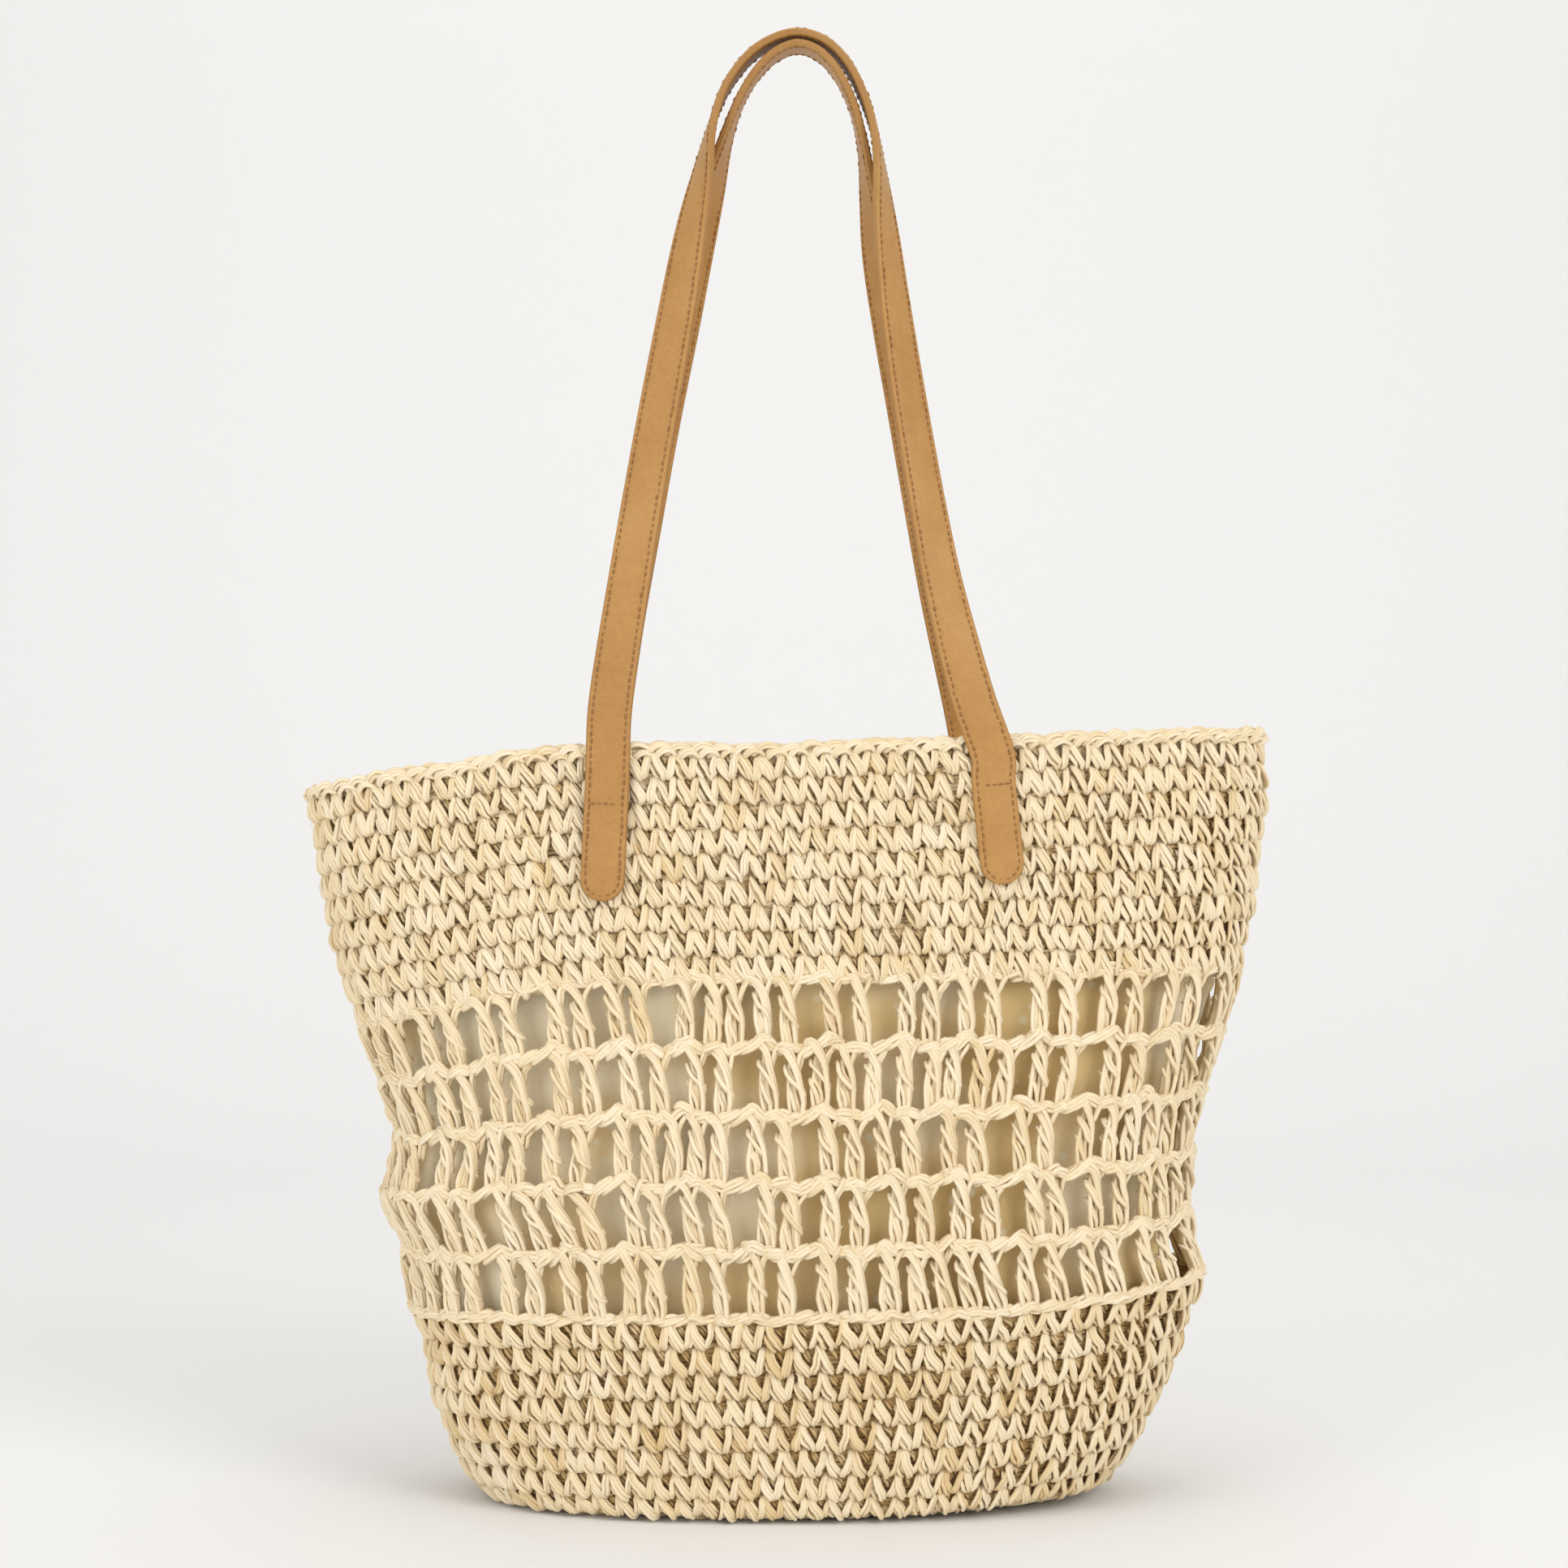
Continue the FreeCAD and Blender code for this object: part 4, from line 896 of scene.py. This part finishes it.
def strap_line(word):
    """Dense middle line of a whole strap from foot to foot, with its outward direction."""
    side = -1 if word == "front" else 1
    pts, turn = [], []
    (s1, z1, xa, xb, _), (s2, z2, xc, xd, _) = TABS[word]
    for z in np.linspace(z1, 344, 7):
        x = np.interp(z, [z1, 330], [xa, xb]) + max(0, z - 330) * 0.02
        pts.append((x, wall_face(x, z, side) + side * (0.9 + STRAP_T / 2), z)); turn.append(0)
    for x, y, z, w in (FRONT_ROUTE if word == "front" else BACK_ROUTE):
        pts.append((x, y + side * 0.0, z)); turn.append(w)
    for z in np.linspace(344, z2, 7):
        x = np.interp(z, [z2, 330], [xc, xd]) - max(0, z - 330) * 0.03
        pts.append((x, wall_face(x, z, side) + side * (0.9 + STRAP_T / 2), z)); turn.append(0)
    p = np.array(pts, float)
    dense = spline(p, (len(p) - 1) * 24 + 1)
    w = np.interp(np.linspace(0, len(p) - 1, len(dense)), np.arange(len(p)), np.array(turn, float))
    k = np.ones(25) / 25
    w = np.convolve(np.pad(w, 12, mode="edge"), k, mode="valid")
    d = np.concatenate([[0], np.cumsum(np.linalg.norm(np.diff(dense, axis=0), axis=1))])
    n = int(d[-1] / 1.25)
    want = np.linspace(0, d[-1], n + 1)
    line = np.stack([np.interp(want, d, dense[:, i]) for i in range(3)], 1)
    w = np.radians(np.interp(want, d, w))
    tang = np.gradient(line, axis=0)
    tang /= np.linalg.norm(tang, axis=1, keepdims=True)
    face = np.tile(np.array([0.0, side, 0.0]), (len(line), 1))
    # on the tabs the strap lies on the curve of the wall
    for i, (x, y, z) in enumerate(line):
        if z < 350:
            dy = (wall_face(x + 8, z, side) - wall_face(x - 8, z, side)) / 16
            f = np.array([-dy * side, 1.0, 0.0]) * side if side > 0 else np.array([dy, -1.0, 0.0])
            k = 1 - smooth(z, 335.0, 350.0)
            face[i] = face[i] * (1 - k) + f / np.linalg.norm(f) * k
    n0 = face - tang * (face * tang).sum(1, keepdims=True)
    n0 /= np.linalg.norm(n0, axis=1, keepdims=True)
    n1 = np.cross(np.array([0.0, -1.0, 0.0]), tang)
    n1 -= tang * (n1 * tang).sum(1, keepdims=True)
    n1 /= np.linalg.norm(n1, axis=1, keepdims=True)
    n1 -= n0 * (n1 * n0).sum(1, keepdims=True)
    n1 /= np.linalg.norm(n1, axis=1, keepdims=True)
    nrm = n0 * np.cos(w)[:, None] + n1 * np.sin(w)[:, None]
    for _ in range(4):
        nrm[1:-1] = (nrm[:-2] + nrm[1:-1] + nrm[2:]) / 3
        nrm -= tang * (nrm * tang).sum(1, keepdims=True)
        nrm /= np.linalg.norm(nrm, axis=1, keepdims=True)
    return line, tang, np.cross(tang, nrm), nrm, want


# half outline of the section, from the middle of the outer face round the edge to the middle of the inner face
def section():
    t, w = STRAP_T / 2, STRAP_W
    up = [(0, t + 0.10), (3.2, t + 0.10), (5.6, t + 0.05), (6.7, t - 0.10), (7.3, t - 0.36), (7.9, t - 0.36), (8.5, t - 0.12),
          (9.2, t - 0.20), (9.7, t - 0.62), (10.0, t - 1.25), (10.02, 0.28), (9.86, 0.06), (9.86, -0.06), (10.02, -0.28), (10.0, -t + 1.25)]
    down = [(9.7, -t + 0.62), (9.2, -t + 0.20), (8.5, -t + 0.12), (7.9, -t + 0.34), (7.3, -t + 0.34), (6.7, -t + 0.10), (4.0, -t), (0, -t)]
    right = up + down
    left = [(-x, y) for x, y in reversed(right[1:-1])]
    return np.array(right + left, float)


def strap(word):
    line, tang, wide, nrm, along = strap_line(word)
    sec = section()
    L = along[-1]
    edge_at = np.clip((np.abs(sec[:, 0]) - 9.4) / 0.5, 0, 1)
    r = 10.0
    from_end = np.minimum(along, L - along)
    # round feet: extra rings where the width changes fast
    extra = np.array([0.0, 0.12, 0.35, 0.7])
    want = np.unique(np.concatenate([extra, np.arange(1.25, L - 1.2, 1.25), L - extra]))
    pick = lambda a: np.stack([np.interp(want, along, a[:, i]) for i in range(3)], 1)
    P, W, Nn = pick(line), pick(wide), pick(nrm)
    e = np.minimum(want, L - want)
    half = np.where(e < r, np.sqrt(np.maximum(0.0, r * r - (r - np.minimum(e, r)) ** 2)), r) / r
    half = np.maximum(half, 0.02)
    thin = np.where(e < 1.6, np.sqrt(np.clip(1 - (1 - e / 1.6) ** 2, 0.05, 1)), 1.0)
    # the section keeps its rolled edge near the round foot: points are slid in rather than scaled
    n = len(sec)
    rings = []
    for i in range(len(want)):
        hw = half[i] * 10.0
        x = np.sign(sec[:, 0]) * np.maximum(0, np.where(np.abs(sec[:, 0]) > 5.6, hw - (10.0 - np.abs(sec[:, 0])), np.abs(sec[:, 0]) * max(0.0, hw - 4.4) / 5.6))
        if hw < 4.6:
            x = sec[:, 0] * hw / 10.0
        y = sec[:, 1] * thin[i]
        rings.append(P[i] + W[i] * x[:, None] + Nn[i] * y[:, None])
    V = np.array(rings)
    rows = len(V)
    idx = np.arange(rows * n).reshape(rows, n)
    nxt = np.roll(idx, -1, 1)
    quads = np.stack([idx[:-1], idx[1:], nxt[1:], nxt[:-1]], -1).reshape(-1)
    loops = np.concatenate([quads, idx[0], idx[-1][::-1]])
    totals = np.concatenate([np.full((rows - 1) * n, 4), [n, n]])
    starts = np.concatenate([[0], np.cumsum(totals)[:-1]])
    ob = raw_mesh(word + "_strap", V.reshape(-1, 3) * MM, loops, starts, totals, LEATHER)
    at = ob.data.attributes.new("edge", "FLOAT", "POINT")
    at.data.foreach_set("value", np.tile(edge_at, rows).astype(np.float32))

    # stitching
    sew = Yarn(6)
    pitch, run = 3.3, 2.35
    inset = STRAP_W - 7.6
    at_len = lambda s, a: np.stack([np.interp(s, along, a[:, i]) for i in range(3)], -1)

    def place(s, x, out):
        return at_len(s, line) + at_len(s, wide) * x[..., None] + at_len(s, nrm) * out[..., None]

    def edge_path():
        """Both seam lines as one run round each foot: distance along the strap and place across it."""
        ra = r - inset
        ang = np.linspace(0, math.pi, 40)
        s1 = r - ra * np.sin(ang); x1 = -ra * np.cos(ang)
        s2 = np.linspace(r, L - r, 1400)
        up_s, up_x = s2, np.full_like(s2, ra)
        s3 = L - s1[::-1]; x3 = -x1[::-1]
        s3 = L - r + ra * np.sin(ang); x3 = ra * np.cos(ang)
        dn_s, dn_x = s2[::-1], np.full_like(s2, -ra)
        return np.concatenate([s1, up_s, s3, dn_s]), np.concatenate([x1, up_x, x3, dn_x])

    S, X = edge_path()
    pos = place(S, X, np.zeros_like(S))
    d = np.concatenate([[0], np.cumsum(np.linalg.norm(np.diff(pos, axis=0), axis=1))])
    starts_s = np.arange(0.5, d[-1] - pitch, pitch)
    rel = np.linspace(0, run, 7)
    dd = starts_s[:, None] + rel[None]
    ss, xx = np.interp(dd, d, S), np.interp(dd, d, X)
    lift = np.array([-0.45, -0.05, 0.12, 0.16, 0.12, -0.05, -0.45])[None] * np.ones_like(ss)
    for sgn, surf in ((1, STRAP_T / 2 - 0.36), (-1, STRAP_T / 2 - 0.34)):
        # no stitches on the underside where the tab lies on the wall
        keep = np.ones(len(ss), bool) if sgn > 0 else (at_len(ss[:, 3], line)[:, 2] > 345)
        mid_line = place(ss[keep], xx[keep], sgn * (surf + 0.12 + lift[keep]))
        sew.strands(mid_line, sgn * at_len(ss[keep], nrm), [(0, 0)], 0.36)
    # cross seams
    for end, (side, zf, xf, xt, zbar) in enumerate(TABS[word]):
        z_here = line[:, 2]
        if end == 0:
            k = np.argmax(z_here > zbar)
        else:
            k = len(z_here) - 1 - np.argmax(z_here[::-1] > zbar)
        s0 = along[k]
        xs = np.arange(-7.0, 7.01 - run, pitch * 0.9)
        xq = xs[:, None] + rel[None] * 0.95
        sq = np.full_like(xq, s0)
        lf = np.array([-0.45, -0.05, 0.12, 0.16, 0.12, -0.05, -0.45])[None] * np.ones_like(xq)
        m = place(sq, xq, STRAP_T / 2 + 0.14 + lf)
        sew.strands(m, at_len(sq, nrm), [(0, 0)], 0.36)
    # the thread is made as tubes laid along the strap
    made = sew.write(word + "_strap_stitching", None, material=THREAD, slot="seam_thread", body="bag")
    return ob, made


for word, sgn in (("front", -1), ("back", 1)):
    ob, sewn = strap(word)
    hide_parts(word + "_strap_face", word + "_strap_backing", word + "_left_tab", word + "_right_tab")
    for s in sewn:
        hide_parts(word + "_strap_seam_thread", word + "_left_tab_stitching", word + "_right_tab_stitching")
        if "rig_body" in s:
            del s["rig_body"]
        s.parent = None
    for piece in [ob] + sewn:
        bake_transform(piece)

for node in ("front_left", "front_right", "back_left", "back_right"):
    o = frame["nodes"][node + "_patch"]
    o.data.materials.clear()
    o.data.materials.append(PATCH)

# ------------------------------------------------------------------ stage
def stage_material(name, colour):
    n = Nodes(name)
    n.bsdf.inputs["Base Color"].default_value = (*colour, 1)
    n.bsdf.inputs["Roughness"].default_value = 0.9
    n.bsdf.inputs["Specular IOR Level"].default_value = 0.1
    return n.mat


prof = [(-4.0, 0.0)] + [(1.2 + 1.2 * math.sin(a), 1.2 - 1.2 * math.cos(a)) for a in np.linspace(0, math.pi / 2, 16)] + [(2.4, 4.5)]
verts, faces = [], []
for x in (-5.0, 5.0):
    verts += [(x, y, z) for y, z in prof]
k = len(prof)
for i in range(k - 1):
    faces.append((i, k + i, k + i + 1, i + 1))
sweep = new_object("studio_sweep", verts, faces, stage_material("studio_paper", (0.80, 0.797, 0.793)))

world = bpy.data.worlds.new("studio") if bpy.context.scene.world is None else bpy.context.scene.world
bpy.context.scene.world = world
world.use_nodes = True
world.node_tree.nodes["Background"].inputs[0].default_value = (1.0, 0.995, 0.985, 1)
world.node_tree.nodes["Background"].inputs[1].default_value = 0.72


def area_light(name, place_at, aim, size, power, colour=(1, 1, 1)):
    data = bpy.data.lights.new(name, "AREA")
    data.shape, data.size, data.size_y = "RECTANGLE", size[0], size[1]
    data.energy, data.color = power, colour
    ob = bpy.data.objects.new(name, data)
    bpy.context.scene.collection.objects.link(ob)
    ob.location = place_at
    d = Vector(aim) - Vector(place_at)
    ob.rotation_euler = d.to_track_quat("-Z", "Y").to_euler()
    return ob


area_light("key", (1.55, -1.85, 1.45), (0, 0, 0.25), (1.3, 1.3), 26.0, (1.0, 0.985, 0.955))
area_light("fill", (-1.75, -1.8, 0.8), (0, 0, 0.25), (1.6, 1.6), 20.5, (1, 0.995, 0.98))
area_light("overhead", (0.0, -0.15, 1.9), (0, 0, 0.3), (0.8, 0.8), 4.0, (1, 0.995, 0.98))
area_light("backdrop_light", (0.0, 0.9, 2.6), (0, 2.4, 0.6), (3.0, 0.8), 13.6, (1, 1, 1))

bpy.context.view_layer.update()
